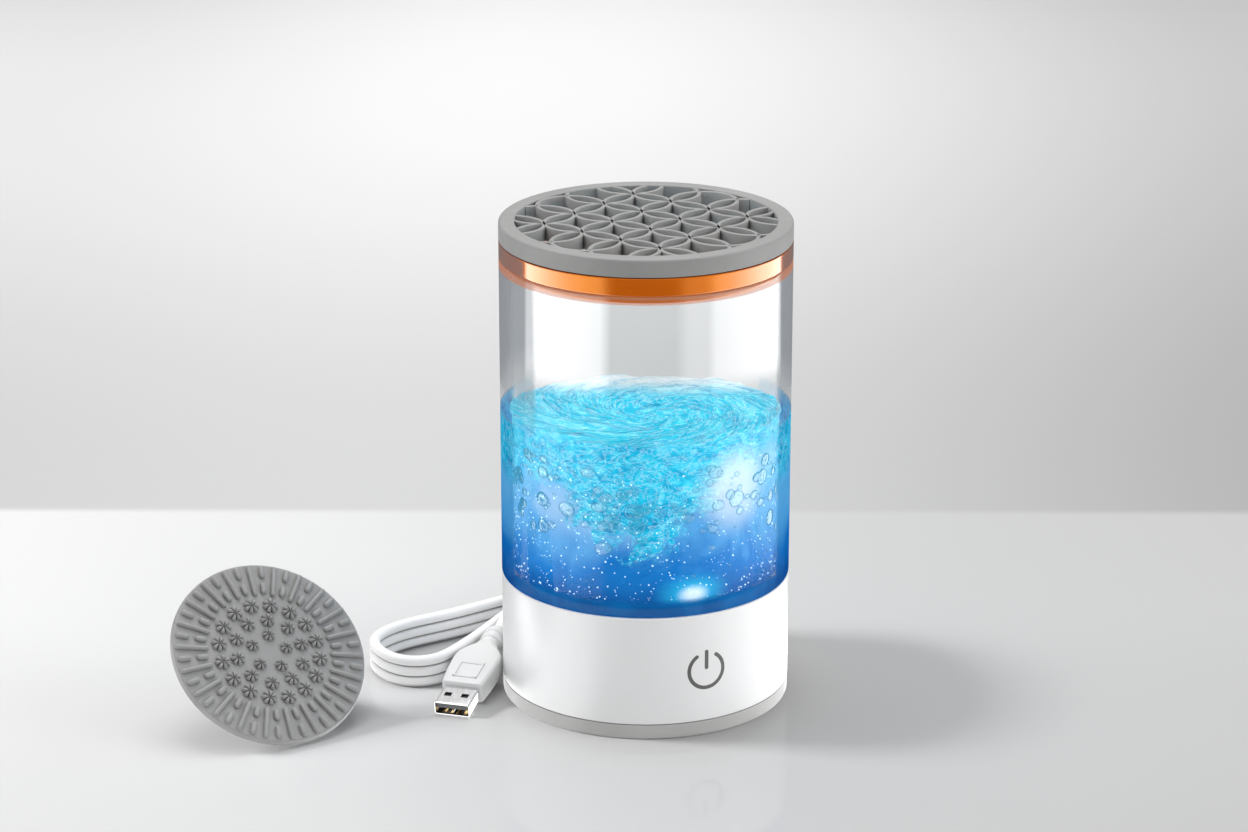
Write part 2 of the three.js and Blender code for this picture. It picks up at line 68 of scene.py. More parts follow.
MM = 0.001
BODY_R = 47.5
FOOT_TOP = 4.9
BASE_TOP = 41.75
WALL_INNER_R = 45.3
CUP_TOP = 148.85
COLLAR_TOP = 154.85
TOTAL_HEIGHT = 161
CUP_INNER_R = 44.7
FLOOR_TOP = 43.6
RIM_INNER_R = 42.3

SYMBOL_TURN = math.radians(24.6)
SYMBOL_Z = 22.6
SYMBOL_LINE = 1.25
SYMBOL_R = 6
SYMBOL_OPENING = math.radians(34)

GRID_PITCH = 15.5
GRID_TURN = math.radians(-37.5)
GRID_RIB = 1.4
GRID_HALF = 2

PAD_R = 32.7
PAD_THICKNESS = 2.6
PAD_TILT = math.radians(42.3)
PAD_TURN = math.radians(33)
PAD_PLACE = (-122, -32.3)
PAD_RIBS = 22
RIB_HEIGHT = 1.4
STUD_HEIGHT = 1.6
STUD_PETALS = 7
STUD_RINGS = ((17, 16, 2.7), (11.5, 10, 2.5), (6, 5, 2.2))     # radius, how many, their size
STEM_R = 12

CORD_R = 1.8
CORD_PITCH = 3.65
CORD_STEP = 1.6
EXIT = (6, 47.5, 12)
RELIEF_LENGTH = 15
RELIEF_RIBS = 4
BOOT_END = 50
PLUG_PLACE = (-63.3, -28.8, 2.3)
PLUG_TURN = math.radians(-15.8)
PLUG_RISE = math.radians(10)

WATER_R = 44.3
WATER_LEVEL = 99
WATER_DRAW = 0.985    # share of its radius that the water keeps below its top edge
BUBBLES = 430
SPECKS = 1500
PLUME_FOOT = 60
PLUME_HEIGHT = 33
PLUME_LAYERS = 44
ROUND = 192


# ---- Camera -----------------------------------------------------------------------------------

def make_camera():
    data = bpy.data.cameras.new("camera")
    data.lens = 102.0
    data.sensor_width = 36
    data.clip_start = 0.01
    data.clip_end = 60
    camera = bpy.data.objects.new("camera", data)
    camera.location = (0, -1.0956, 0.4641)
    camera.rotation_euler = (math.radians(90 - 18.654), 0, math.radians(0.3696))
    bpy.context.scene.collection.objects.link(camera)
    bpy.context.scene.camera = camera


# ---- Mesh helpers -----------------------------------------------------------------------------

def link_mesh(name, vertices, faces, smooth_angle=35, place=None):
    """A mesh object from points in millimetres, with outward normals and soft shading."""
    mesh = bpy.data.meshes.new(name)
    mesh.from_pydata([Vector(v) * MM for v in vertices], [], faces)
    shape = bmesh.new()
    shape.from_mesh(mesh)
    bmesh.ops.remove_doubles(shape, verts=shape.verts, dist=1e-7)
    bmesh.ops.recalc_face_normals(shape, faces=shape.faces)
    shape.to_mesh(mesh)
    shape.free()
    mesh.shade_smooth()
    mesh.set_sharp_from_angle(angle=math.radians(smooth_angle))
    piece = bpy.data.objects.new(name, mesh)
    bpy.context.scene.collection.objects.link(piece)
    if place is not None:
        mesh.transform(place)
    return piece


def ride(piece, body, slot, *replaced):
    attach(piece, body)
    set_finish(piece, slot)
    if replaced:
        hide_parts(*replaced)
    return piece


def turns(count):
    """The angles of a full turn in equal steps."""
    return [2 * math.pi * k / count for k in range(count)]


def on_circle(radius, angle, *height):
    return (radius * math.cos(angle), radius * math.sin(angle), *height)


def spoke(angle, reach, height=0):
    """Moves a part out from Z along X and then turns it about Z."""
    return Matrix.Rotation(angle, 4, "Z") @ Matrix.Translation((reach, 0, height))


FLAT_HOLD = 0.25      # how far beside a fillet a flat face starts, so that it still mirrors as flat


def rounded(profile, steps=4):
    """A closed profile of (radius, height[, fillet]) with each fillet turned into a small arc."""
    points = []
    count = len(profile)
    for i, corner in enumerate(profile):
        here = Vector(corner[:2])
        fillet = corner[2] if len(corner) > 2 else 0
        if not fillet:
            points.append(tuple(here))
            continue
        sides = [Vector(profile[n % count][:2]) - here for n in (i - 1, i + 1)]
        start, end = (here + side.normalized() * min(fillet, side.length * 0.49) for side in sides)
        hold = fillet + FLAT_HOLD
        holds = [[here + side.normalized() * hold] if side.length > 2 * hold else [] for side in sides]
        shares = [k / steps for k in range(steps + 1)]
        arc = [start * (1 - t) ** 2 + here * 2 * t * (1 - t) + end * t * t for t in shares]
        points += [tuple(point) for point in holds[0] + arc + holds[1]]
    return points


def lathe_data(profile, steps=ROUND):
    """Vertices and faces of a closed profile turned about Z."""
    vertices, faces, rows = [], [], []
    for radius, height in profile:
        if abs(radius) < 1e-6:
            rows.append([len(vertices)] * steps)
            vertices.append((0, 0, height))
            continue
        rows.append(list(range(len(vertices), len(vertices) + steps)))
        vertices.extend(on_circle(radius, angle, height) for angle in turns(steps))
    for i, row in enumerate(rows):
        after = rows[(i + 1) % len(rows)]
        for k in range(steps):
            n = (k + 1) % steps
            face = list(dict.fromkeys((row[k], row[n], after[n], after[k])))
            if len(face) > 2:
                faces.append(face)
    return vertices, faces


def lathe(name, profile, steps=ROUND, place=None):
    return link_mesh(name, *lathe_data(rounded(profile), steps), place=place)


def merged(parts):
    """Several (vertices, faces) lists as one."""
    vertices, faces = [], []
    for part_vertices, part_faces in parts:
        start = len(vertices)
        vertices.extend(part_vertices)
        faces.extend([i + start for i in face] for face in part_faces)
    return vertices, faces


def placed(part, matrix):
    return [tuple(matrix @ Vector(v)) for v in part[0]], part[1]


def loft_data(sections, looped=False):
    """Closed rings of equal length joined one to the next, with capped ends or the last to the first."""
    count = len(sections[0])
    vertices = [v for ring in sections for v in ring]
    last = (len(sections) - 1) * count
    starts = range(0, last, count)
    faces = [
        (start + k, start + (k + 1) % count, start + count + (k + 1) % count, start + count + k)
        for start in starts for k in range(count)
    ]
    if looped:
        faces += [(last + k, last + (k + 1) % count, (k + 1) % count, k) for k in range(count)]
    else:
        faces += [tuple(range(count)), tuple(last + k for k in range(count))]
    return vertices, faces


def rounded_rectangle(half_width, half_height, corner, y, steps=6):
    """A ring of points in the XZ plane at y."""
    corner = min(corner, half_width * 0.98, half_height * 0.98)
    points = []
    for turn, (sx, sz) in enumerate(((1, 1), (-1, 1), (-1, -1), (1, -1))):
        for k in range(steps + 1):
            angle = math.pi / 2 * (turn + k / steps)
            x = sx * (half_width - corner) + corner * math.cos(angle)
            points.append((x, y, sz * (half_height - corner) + corner * math.sin(angle)))
    return points


def rectangle(x, y, half_width, half_depth):
    return [(x + sx * half_width, y + sy * half_depth) for sx, sy in ((1, 1), (-1, 1), (-1, -1), (1, -1))]


def capsule_data(length, radius, height, around=10, along=4):
    """A rounded rib lying along X from the origin, flat underneath and crowned on top."""
    quarter = [math.pi / 2 * k / along for k in range(along + 1)]
    stations = [(radius - radius * math.sin(a), a) for a in reversed(quarter)]
    stations += [(length - radius + radius * math.sin(a), a) for a in quarter]
    sections = []
    for x, angle in stations:
        shrink = max(math.cos(angle), 0.05)
        wide, high = radius * shrink, height * shrink ** 0.6
        arc = [math.pi * k / around for k in range(around + 1)]
        crown = [(x, wide * math.cos(a), high * math.sin(a) ** 0.7) for a in arc]
        sections.append([*crown, (x, -wide, -0.4), (x, wide, -0.4)])
    return loft_data(sections)


def between(a, b, t, t_a, t_b):
    """The point at t on the line that is at a when t is t_a, and at b when it is t_b."""
    return a * ((t_b - t) / (t_b - t_a)) + b * ((t - t_a) / (t_b - t_a))


def spline(points):
    """Dense points on a centripetal Catmull-Rom curve through the given ones."""
    ends = [points[0] * 2 - points[1], *points, points[-1] * 2 - points[-2]]
    dense = []
    for i in range(1, len(ends) - 2):
        p0, p1, p2, p3 = ends[i - 1 : i + 3]
        t1 = max((p1 - p0).length, 1e-6) ** 0.5
        t2 = t1 + max((p2 - p1).length, 1e-6) ** 0.5
        t3 = t2 + max((p3 - p2).length, 1e-6) ** 0.5
        for k in range(24):
            t = t1 + (t2 - t1) * k / 24
            a1, a2, a3 = between(p0, p1, t, 0, t1), between(p1, p2, t, t1, t2), between(p2, p3, t, t2, t3)
            b1, b2 = between(a1, a2, t, 0, t2), between(a2, a3, t, t1, t3)
            dense.append(between(b1, b2, t, t1, t2))
    return [*dense, points[-1]]


def smooth_path(points, step):
    """Points every step along a curve through the given ones, relaxed so that it bends evenly."""
    dense = spline([Vector(p) for p in points])
    path, left = [dense[0]], step
    for a, b in zip(dense, dense[1:]):
        length = (b - a).length
        while length > 1e-9 and left <= length:
            a = a + (b - a) * (left / length)
            length = (b - a).length
            path.append(a)
            left = step
        left -= length
    path.append(dense[-1])
    for _ in range(7):
        middle = [(a + b * 2 + c) / 4 for a, b, c in zip(path[2:], path[3:-3], path[4:-2])]
        path = path[:3] + middle + path[-3:]
    return path


# ---- Lead: cord, strain relief and plug -------------------------------------------------------

PLUG_FRAME = (
    Matrix.Translation(PLUG_PLACE) @ Matrix.Rotation(PLUG_TURN, 4, "Z") @ Matrix.Rotation(PLUG_RISE, 4, "X")
)

# One turn of the hank seen from above: far run, left end, near run; its right end lifts a level.
LEFT_OF_TURN = [
    (-30, 66), (-49.6, 51.1), (-67.9, 37.9), (-82, 29), (-89.5, 21), (-91.9, 13), (-89.6, 5.8), (-85.8, 0.1),
    (-82.4, -2.8), (-78.1, -4.2), (-73.7, -3.9), (-69.6, -1.9), (-66.7, 1.5), (-57.4, 18.1), (-50.3, 33.4),
    (-45.6, 42.4), (-37.4, 49.4), (-25.5, 52.5), (-12.8, 52.8),
]
RIGHT_END = [
    (-7, 54.4, 0.05), (-2.8, 58.6, 0.22), (-1.2, 64.4, 0.5), (-2.8, 70.2, 0.78), (-7, 74.5, 0.95),
    (-12.8, 76, 1), (-16.6, 75.4, 1), (-20, 73.6, 1),
]
FIRST_LEVEL = 1.82
TAIL_LEVEL = 13.15


def cord_points():
    """The middle of the lead, from inside the strain relief to the plug's boot."""
    x, y, z = EXIT
    points = [(x, y + 1, z), (x, y + 6, z), (x, y + 11, z), (x, y + RELIEF_LENGTH + 0.3, z)]
    points += [(x, 66.6, 10.9), (5.6, 70.5, 7.4), (3.6, 75.6, 3.9), (-0.8, 79.6, 2.2), (-5, 81, 1.85)]
    points += [(-10, 80.6, FIRST_LEVEL), (-16.5, 77, FIRST_LEVEL), (-22, 72.1, FIRST_LEVEL)]
    for level in range(3):
        low = FIRST_LEVEL + level * CORD_PITCH
        points += [(px, py, low) for px, py in LEFT_OF_TURN]
        points += [(px, py, low + CORD_PITCH * lift) for px, py, lift in RIGHT_END]
    points += [(px, py, TAIL_LEVEL) for px, py in ((-30, 66), (-40.5, 56.2), (-45.4, 46.5), (-47, 38))]
    points += [(-47.3, 31, 12.9)]
    points += [tuple(PLUG_FRAME @ Vector((0, BOOT_END + reach, 0))) for reach in (5, -6)]
    return points


def tube_data(path, radius, around=16):
    """A round tube along a path, its rings turned as little as possible from one to the next."""
    side = Vector((1, 0, 0))
    rings = []
    for i, point in enumerate(path):
        along = (path[min(i + 1, len(path) - 1)] - path[max(i - 1, 0)]).normalized()
        side = (side - along * side.dot(along)).normalized()
        up = along.cross(side)
        rings.append([point + (side * math.cos(a) + up * math.sin(a)) * radius for a in turns(around)])
    return loft_data(rings)


def make_cord(path):
    cord = link_mesh("lead_cord", *tube_data(path, CORD_R), 60)
    return ride(cord, "base", "cord_white", "cord_first_stretch", "cord_hank", "cord_last_stretch")


def make_strain_relief():
    """A tapered sleeve with flexing ribs, held in the housing by its collar."""
    profile = [(0, -6.4), (3.9, -6.4, 0.2), (3.9, -5, 0.2), (2.7, -5), (2.7, 0.9), (3.9, 0.9, 0.3)]
    profile += [(3.85, 3, 0.3)]
    for k in range(RELIEF_RIBS):
        start = 3.6 + 2.7 * k
        outer = 3.6 - 0.33 * k
        profile += [(outer - 0.7, start, 0.15), (outer - 0.7, start + 0.7, 0.15), (outer, start + 0.9, 0.25)]
        profile += [(outer - 0.2, start + 2.4, 0.25)]
    profile += [(2.35, RELIEF_LENGTH, 0.3), (0, RELIEF_LENGTH)]
    place = Matrix.Translation(Vector(EXIT) * MM) @ Matrix.Rotation(-math.pi / 2, 4, "X")
    return ride(lathe("strain_relief_sleeve", profile, 48, place), "base", "cord_white", "strain_relief")


def plug_place():
    matrix = PLUG_FRAME.copy()
    matrix.translation = matrix.translation * MM
    return matrix


def make_plug_body():
    """The moulded grip: soft-cornered sections along the plug, with a raised frame on both faces."""
    stations = [
        (10.95, 6.5, 3.3, 1.0), (11.15, 6.85, 3.6, 1.2), (11.9, 7.1, 3.78, 1.3), (15, 7.45, 3.8, 1.3),
        (20, 7.85, 3.8, 1.3), (25, 8, 3.8, 1.3), (28.4, 7.95, 3.8, 1.3), (30.2, 7.6, 3.78, 1.4),
        (32, 6.7, 3.75, 1.6), (34, 5.6, 3.7, 1.9), (35.8, 4.5, 3.62, 2.4), (36.8, 4.0, 3.6, 2.8),
        (38.1, 3.85, 3.6, 3.0), (38.4, 3.6, 3.4, 3.0),
    ]
    bars = ((0, 14.3, 4.2, 0.35), (0, 22.6, 4.2, 0.35), (-3.85, 18.45, 0.35, 4.5), (3.85, 18.45, 0.35, 4.5))
    parts = [loft_data([rounded_rectangle(w, h, c, y) for y, w, h, c in stations])]
    for side in (1, -1):
        for x, y, w, d in bars:
            levels = ((3.6, 0), (4.12, 0), (4.28, 0.14))
            parts.append(loft_data([
                [(*point, side * z) for point in rectangle(x, y, w - inset, d - inset)] for z, inset in levels
            ]))
    piece = link_mesh("plug_grip", *merged(parts), 40, plug_place())
    return ride(piece, "base", "plug_white", "plug_body")


def make_plug_boot():
    start = 38.7
    profile = [
        (0, start), (3.2, start, 0.2), (3.2, 40.7, 0.2), (3.85, 41.1, 0.35), (3.85, 43.3, 0.35),
        (3.1, 43.6, 0.2), (3.1, 44.8, 0.2), (3.65, 45.2, 0.35), (3.65, 47, 0.35), (2.7, 47.4, 0.2),
        (2.35, BOOT_END, 0.3), (0, BOOT_END),
    ]
    place = plug_place() @ Matrix.Rotation(-math.pi / 2, 4, "X")
    return ride(lathe("plug_boot_rings", profile, 48, place), "base", "plug_white", "plug_boot")


def sleeve_cutters():
    """The four catch windows of the plug's shell and the seam below."""
    cutters = []
    for x in (-2.9, 2.9):
        for side in (1, -1):
            window = rectangle(x, 5.4, 1.2, 1.1)
            cutters.append(loft_data([[(*point, side * z) for point in window] for z in (1.2, 3.2)]))
    seam = [(0.06, 12), (-0.06, 12), (-0.06, 1.2), (0.06, 1.2)]
    cutters.append(loft_data([[(*point, z) for point in seam] for z in (-1.2, -3.2)]))
    return merged(cutters)


def make_plug_shell():
    """The folded metal shell: round-cornered sleeve, flared lip, catch windows and the seam below."""
    sheet, corner = 0.35, 0.75
    half_w, half_h, length = 6, 2.25, 10.6
    outside = ((0.0, 0.12), (0.14, 0.02), (0.5, 0), (length, 0))
    inside = ((length, 0), (0.5, 0), (0.14, -0.08), (0.0, -0.1))
    rings = [rounded_rectangle(half_w - d, half_h - d, corner, y) for y, d in outside]
    rings += [
        rounded_rectangle(half_w - sheet - d, half_h - sheet - d, corner - sheet + 0.1, y) for y, d in inside
    ]
    piece = link_mesh("plug_sleeve", *loft_data(rings, looped=True), 40)
    tool = link_mesh("plug_cutter", *sleeve_cutters())
    carve = piece.modifiers.new("windows", "BOOLEAN")
    carve.object = tool
    carve.operation = "DIFFERENCE"
    carve.solver = "EXACT"
    bake_modifiers(piece)
    bpy.data.objects.remove(tool)
    piece.data.transform(plug_place())
    piece.data.set_sharp_from_angle(angle=math.radians(40))
    return ride(piece, "base", "plated_steel", "plug_shell")


def bake_modifiers(piece):
    """Applies what the modifiers make of a piece to its mesh."""
    graph = bpy.context.evaluated_depsgraph_get()
    graph.update()
    mesh = bpy.data.meshes.new_from_object(piece.evaluated_get(graph))
    piece.modifiers.clear()
    piece.data = mesh


# ---- Housing, cup, collar and holder ----------------------------------------------------------

def make_foot():
    r = BODY_R - 0.07
    wall = WALL_INNER_R
    profile = [(0, 0), (r, 0, 0.7), (r, FOOT_TOP, 0.15), (wall, FOOT_TOP), (wall, 1.5), (0, 1.5)]
    ride(lathe("foot_band", profile), "base", "grey_foot", "non_slip_foot")


def make_shell():
    wall = WALL_INNER_R
    profile = [
        (BODY_R, 5.2, 0.25), (BODY_R, 12), (BODY_R, 24), (BODY_R, 36), (BODY_R, BASE_TOP, 0.35),
        (wall, BASE_TOP, 0.2), (wall, 31), (4, 31), (4, 28.6), (wall, 28.6), (wall, 5.2),
    ]
    ride(lathe("housing_shell", profile), "base", "white_shell", "base_shell")


def on_wall(u, v, radius):
    """A point of the key's flat drawing wrapped on the housing."""
    angle = SYMBOL_TURN + u / BODY_R
    return radius * math.sin(angle), -radius * math.cos(angle), SYMBOL_Z + v


def stroke_data(points):
    """A line of constant width with round ends, wrapped on the wall as a thin inlay."""
    half = SYMBOL_LINE / 2
    left, right = [], []
    count = len(points)
    for i, point in enumerate(points):
        along = (Vector(points[min(i + 1, count - 1)]) - Vector(points[max(i - 1, 0)])).normalized()
        across = Vector((-along.y, along.x)) * half
        left.append(Vector(point) + across)
        right.append(Vector(point) - across)

    def cap(centre, start):
        reach = start - Vector(centre)
        return [Vector(centre) + Matrix.Rotation(-math.pi * k / 8, 2) @ reach for k in range(1, 8)]

    outline = left + cap(points[-1], left[-1]) + right[::-1] + cap(points[0], right[0])
    rings = [[on_wall(p.x, p.y, radius) for p in outline] for radius in (BODY_R - 0.5, BODY_R + 0.035)]
    return strip_capped(rings, len(left), 7)


def strip_capped(rings, along, cap):
    """Side walls between two matching outlines, with caps built as strips so they follow the wall."""
    count = len(rings[0])
    vertices = rings[0] + rings[1]
    faces = [(k, (k + 1) % count, count + (k + 1) % count, count + k) for k in range(count)]
    for start in (0, count):
        order = list(range(start, start + count))
        left = order[:along]
        far_cap = order[along : along + cap]
        right = order[along + cap : 2 * along + cap][::-1]
        near_cap = order[2 * along + cap :]
        for i in range(along - 1):
            faces.append((left[i], left[i + 1], right[i + 1], right[i]))
        faces.append((left[-1], *far_cap, right[-1]))
        faces.append((right[0], *near_cap, left[0]))
    return vertices, faces


def make_power_mark():
    """The touch key's sign: an open ring and a bar in its gap."""
    start, sweep = math.pi / 2 + SYMBOL_OPENING, 2 * math.pi - 2 * SYMBOL_OPENING
    arc = [on_circle(SYMBOL_R, start + sweep * k / 64) for k in range(65)]
    bar = [(0, 0.9 + 5.5 * k / 6) for k in range(7)]
    ring = link_mesh("power_ring", *stroke_data(arc), 40)
    line = link_mesh("power_bar", *stroke_data(bar), 40)
    ride(ring, "base", "dark_mark", "power_mark_ring")
    ride(line, "base", "dark_mark", "power_mark_bar")


def make_cup():
    skirt_r = 45
    profile = [
        (4.9, 39.2), (8, 39.2), (8, 41), (42.6, 41), (42.6, 32.8), (skirt_r, 32.8, 0.4), (skirt_r, 42.05),
        (BODY_R, 42.05, 0.4), (BODY_R, 70), (BODY_R, 98), (BODY_R, 124), (BODY_R, CUP_TOP, 0.5),
        (CUP_INNER_R, CUP_TOP, 0.5), (CUP_INNER_R, 124), (CUP_INNER_R, 98), (CUP_INNER_R, 70),
        (CUP_INNER_R, FLOOR_TOP, 1.2), (8, FLOOR_TOP, 0.8), (8, 48.5, 0.4), (4.9, 48.5, 0.4),
    ]
    cup = ride(lathe("cup_wall", profile), "cup_body", "clear_cup", "cup")
    cup.visible_shadow = False


def make_collar():
    inner = 41.5
    profile = [
        (inner, 146), (44.2, 146, 0.2), (44.2, 146.6), (43, 146.6), (43, 148), (44.2, 148), (44.2, 149.15),
        (BODY_R, 149.15, 0.35), (BODY_R, COLLAR_TOP, 0.3), (45.2, COLLAR_TOP), (45.2, 158), (43.3, 158),
        (43.3, COLLAR_TOP), (inner, COLLAR_TOP, 0.3),
    ]
    ride(lathe("amber_ring", profile), "collar", "amber_collar", "collar_ring")


def runs(inside):
    """The unbroken stretches of steps that are inside, on a closed round of steps."""
    steps = len(inside)
    if all(inside):
        return [list(range(steps + 1))]
    stretches = []
    for k in range(steps):
        if inside[k] and not inside[k - 1]:
            stretch = [k]
            while inside[(stretch[-1] + 1) % steps]:
                stretch.append(stretch[-1] + 1)
            stretches.append(stretch)
    return stretches


def grid_arc_data(centre, radius, bottom, top, steps=72):
    """The stretches of one thin hoop that lie inside the rim, each with a rounded top edge."""
    half, soft = GRID_RIB / 2, 0.35
    section = [(-half, bottom), (-half, top - soft)]
    section += [(-half + soft * 0.3, top - soft * 0.3), (-half + soft, top)]
    section += [(-r, z) for r, z in reversed(section)]

    def out(k):
        return Vector(on_circle(1, 2 * math.pi * k / steps))

    inside = [(centre + out(k) * radius).length < RIM_INNER_R + 0.9 for k in range(steps)]
    return [
        loft_data([[(*(centre + out(k) * (radius + dr)), z) for dr, z in section] for k in stretch])
        for stretch in runs(inside) if len(stretch) > 2
    ]


def make_holder():
    """The silicone rim and, across it, the grid of overlapping hoops that holds the brushes."""
    bottom = COLLAR_TOP + 0.3
    rim = lathe_data(rounded([
        (RIM_INNER_R, bottom), (43, bottom), (43, 158.3), (45.5, 158.3), (45.5, bottom),
        (BODY_R, bottom, 0.3), (BODY_R, TOTAL_HEIGHT, 0.9), (RIM_INNER_R, TOTAL_HEIGHT, 0.5),
    ]))
    parts = [rim]
    radius = GRID_PITCH / math.sqrt(2)
    turn = Matrix.Rotation(GRID_TURN, 2)
    for i in range(-GRID_HALF, GRID_HALF + 1):
        for j in range(-GRID_HALF, GRID_HALF + 1):
            centre = turn @ Vector((i * GRID_PITCH, j * GRID_PITCH))
            parts += grid_arc_data(centre, radius, 156, TOTAL_HEIGHT - 0.25)
    ride(link_mesh("silicone_holder", *merged(parts)), "holder", "grey_silicone", "brush_holder")


# ---- Scrub pad --------------------------------------------------------------------------------

def pad_place():
    height = PAD_R * math.sin(PAD_TILT) + PAD_THICKNESS * math.cos(PAD_TILT) + 0.05
    return (
        Matrix.Translation(Vector((*PAD_PLACE, height)) * MM)
        @ Matrix.Rotation(PAD_TURN, 4, "Z")
        @ Matrix.Rotation(PAD_TILT, 4, "X")
    )


def rosette_data(radius, height, petals):
    """A little star: petals that rise from a ring of notches to a low crown."""
    levels = ((1, -0.3), (1, 0.25), (0.93, 0.6), (0.76, 0.9), (0.5, 1), (0.25, 0.85), (0.1, 0.75))
    rings = []
    for reach, rise in levels:
        ring = []
        for angle in turns(petals * 6):
            lobe = abs(math.cos(petals * angle / 2)) ** 0.55
            spread = reach * (1 - 0.42 * (1 - lobe) * (0.35 + reach * 0.65))
            z = rise * height * (0.15 + 0.85 * lobe if rise > 0 else 1)
            ring.append(on_circle(radius * spread, angle, z))
        rings.append(ring)
    return loft_data(rings)


def make_pad():
    """A disc with ribs round its edge and rings of star-shaped studs inside them."""
    disc = [(0, -PAD_THICKNESS), (PAD_R, -PAD_THICKNESS, 0.5), (PAD_R - 0.35, 0, 0.5)]
    disc += [(26, 0), (18, 0), (8, 0), (0, 0)]
    parts = [lathe_data(rounded(disc))]
    for i in range(PAD_RIBS):
        angle = 2 * math.pi * i / PAD_RIBS
        beside = angle + math.pi / PAD_RIBS
        ribs = ((20.6, PAD_R - 0.85, angle, 0.82), (21.2, 25.2, beside, 1), (27.1, 31.6, beside, 1))
        for start, end, turn, width in ribs:
            parts.append(placed(capsule_data(end - start, width, RIB_HEIGHT), spoke(turn, start)))
    rng = random.Random(4)
    for radius, count, size in STUD_RINGS:
        for angle in turns(count):
            star = rosette_data(size, STUD_HEIGHT, STUD_PETALS)
            parts.append(placed(star, spoke(angle, radius) @ Matrix.Rotation(rng.uniform(0, 1), 4, "Z")))
    piece = link_mesh("ribbed_pad", *merged(parts), 40, pad_place())
    ride(piece, "pad", "grey_silicone", "scrub_pad")


def make_pad_socket():
    top = -PAD_THICKNESS - 0.3
    stem = (PAD_R - STEM_R) * math.tan(PAD_TILT) + PAD_THICKNESS
    profile = [
        (0, top), (0, top - 1.6), (9, top - 1.6), (9, -stem, 0.4), (STEM_R, -stem, 0.4),
        (STEM_R, top - 1.6, 0.8), (20, top - 1.6, 0.4), (20, top),
    ]
    ride(lathe("pad_stem", profile, 96, pad_place()), "pad", "grey_silicone", "pad_socket")


# ---- Wash water -------------------------------------------------------------------------------

def in_cup(piece):
    """Water and what floats in it go with the cup and cast no shadow."""
    piece.visible_shadow = False
    return ride(piece, "cup_body", "wash_water")


def rough_noise(point, *waves):
    """Noises of several (height, fineness) added up."""
    return sum(height * noise.noise(point * fineness) for height, fineness in waves)


def water_height(x, y):
    """The swirling surface: a shallow vortex, lower at the back, with spiral ripples."""
    radius = math.hypot(x, y)
    angle = math.atan2(y, x)
    share = radius / WATER_R
    tilt = -5.2 * ((1 + math.sin(angle)) / 2) ** 2 * share
    dip = -4.6 * math.exp(-((radius / 17) ** 2))
    swirl = Vector(on_circle(radius, angle + 2.2 * share, 0))
    ripple = rough_noise(swirl, (1.5, 0.075), (0.8, 0.21), (0.35, 0.5))
    return WATER_LEVEL + tilt + dip + ripple * (0.4 + 0.6 * min(1, share * 2))


def make_water():
    """The body of water: a wavy top, a side just inside the cup and a hollow over the drive hub.

    The faces of the top have the second material."""
    angles = turns(200)
    radii = [0.6, 2] + [2 + (WATER_R - 2) * (k / 30) for k in range(1, 31)]
    rings = []
    for radius in radii:
        flat = [on_circle(radius, angle) for angle in angles]
        rings.append([(x, y, water_height(x, y)) for x, y in flat])
    edge = rings[-1]
    top_faces = (len(rings) - 1) * len(angles)
    side = ((0.7, 1), (1.3, 0.995), (2, 0.986), (12, WATER_DRAW), (25, WATER_DRAW), (40, WATER_DRAW))
    rings += [[(x * share, y * share, z - drop) for x, y, z in edge] for drop, share in side]
    foot = (
        (WATER_R - 1, FLOOR_TOP + 3), (WATER_R - 0.6, FLOOR_TOP + 0.15), (9.2, FLOOR_TOP + 0.15), (9.2, 61),
        (8.2, 61.6), (0.6, 61.6),
    )
    rings += [[on_circle(radius, angle, height) for angle in angles] for radius, height in foot]
    piece = link_mesh("wash_water", *loft_data(rings), 60)
    for face in piece.data.polygons[:top_faces]:
        face.material_index = 1
    return in_cup(piece)


def make_plume():
    """The bright cloud of froth that the spinning head drives up from the middle of the cup."""
    rings = []
    for i in range(PLUME_LAYERS):
        t = i / (PLUME_LAYERS - 1)
        z = PLUME_FOOT + PLUME_HEIGHT * t
        base = 5 + 30 * t ** 0.85 if i else 1
        ring = []
        for angle in turns(120):
            seed = Vector(on_circle(base, angle, z * 1.2))
            lump = rough_noise(seed, (5.5, 0.09), (2.4, 0.24), (1.0, 0.6))
            radius = max(0.5, min(base + lump * min(1, 3 * t + 0.1), 41))
            ring.append(on_circle(radius, angle, z))
        rings.append(ring)
    return in_cup(link_mesh("water_froth", *loft_data(rings), 80))


def ball_data(rows=8, around=14):
    """A ball of radius 1 about the origin."""
    rings = []
    for i in range(rows + 1):
        lift = math.pi * (i / rows - 0.5)
        r = max(math.cos(lift), 0.03)
        rings.append([on_circle(r, angle, math.sin(lift)) for angle in turns(around)])
    return loft_data(rings)


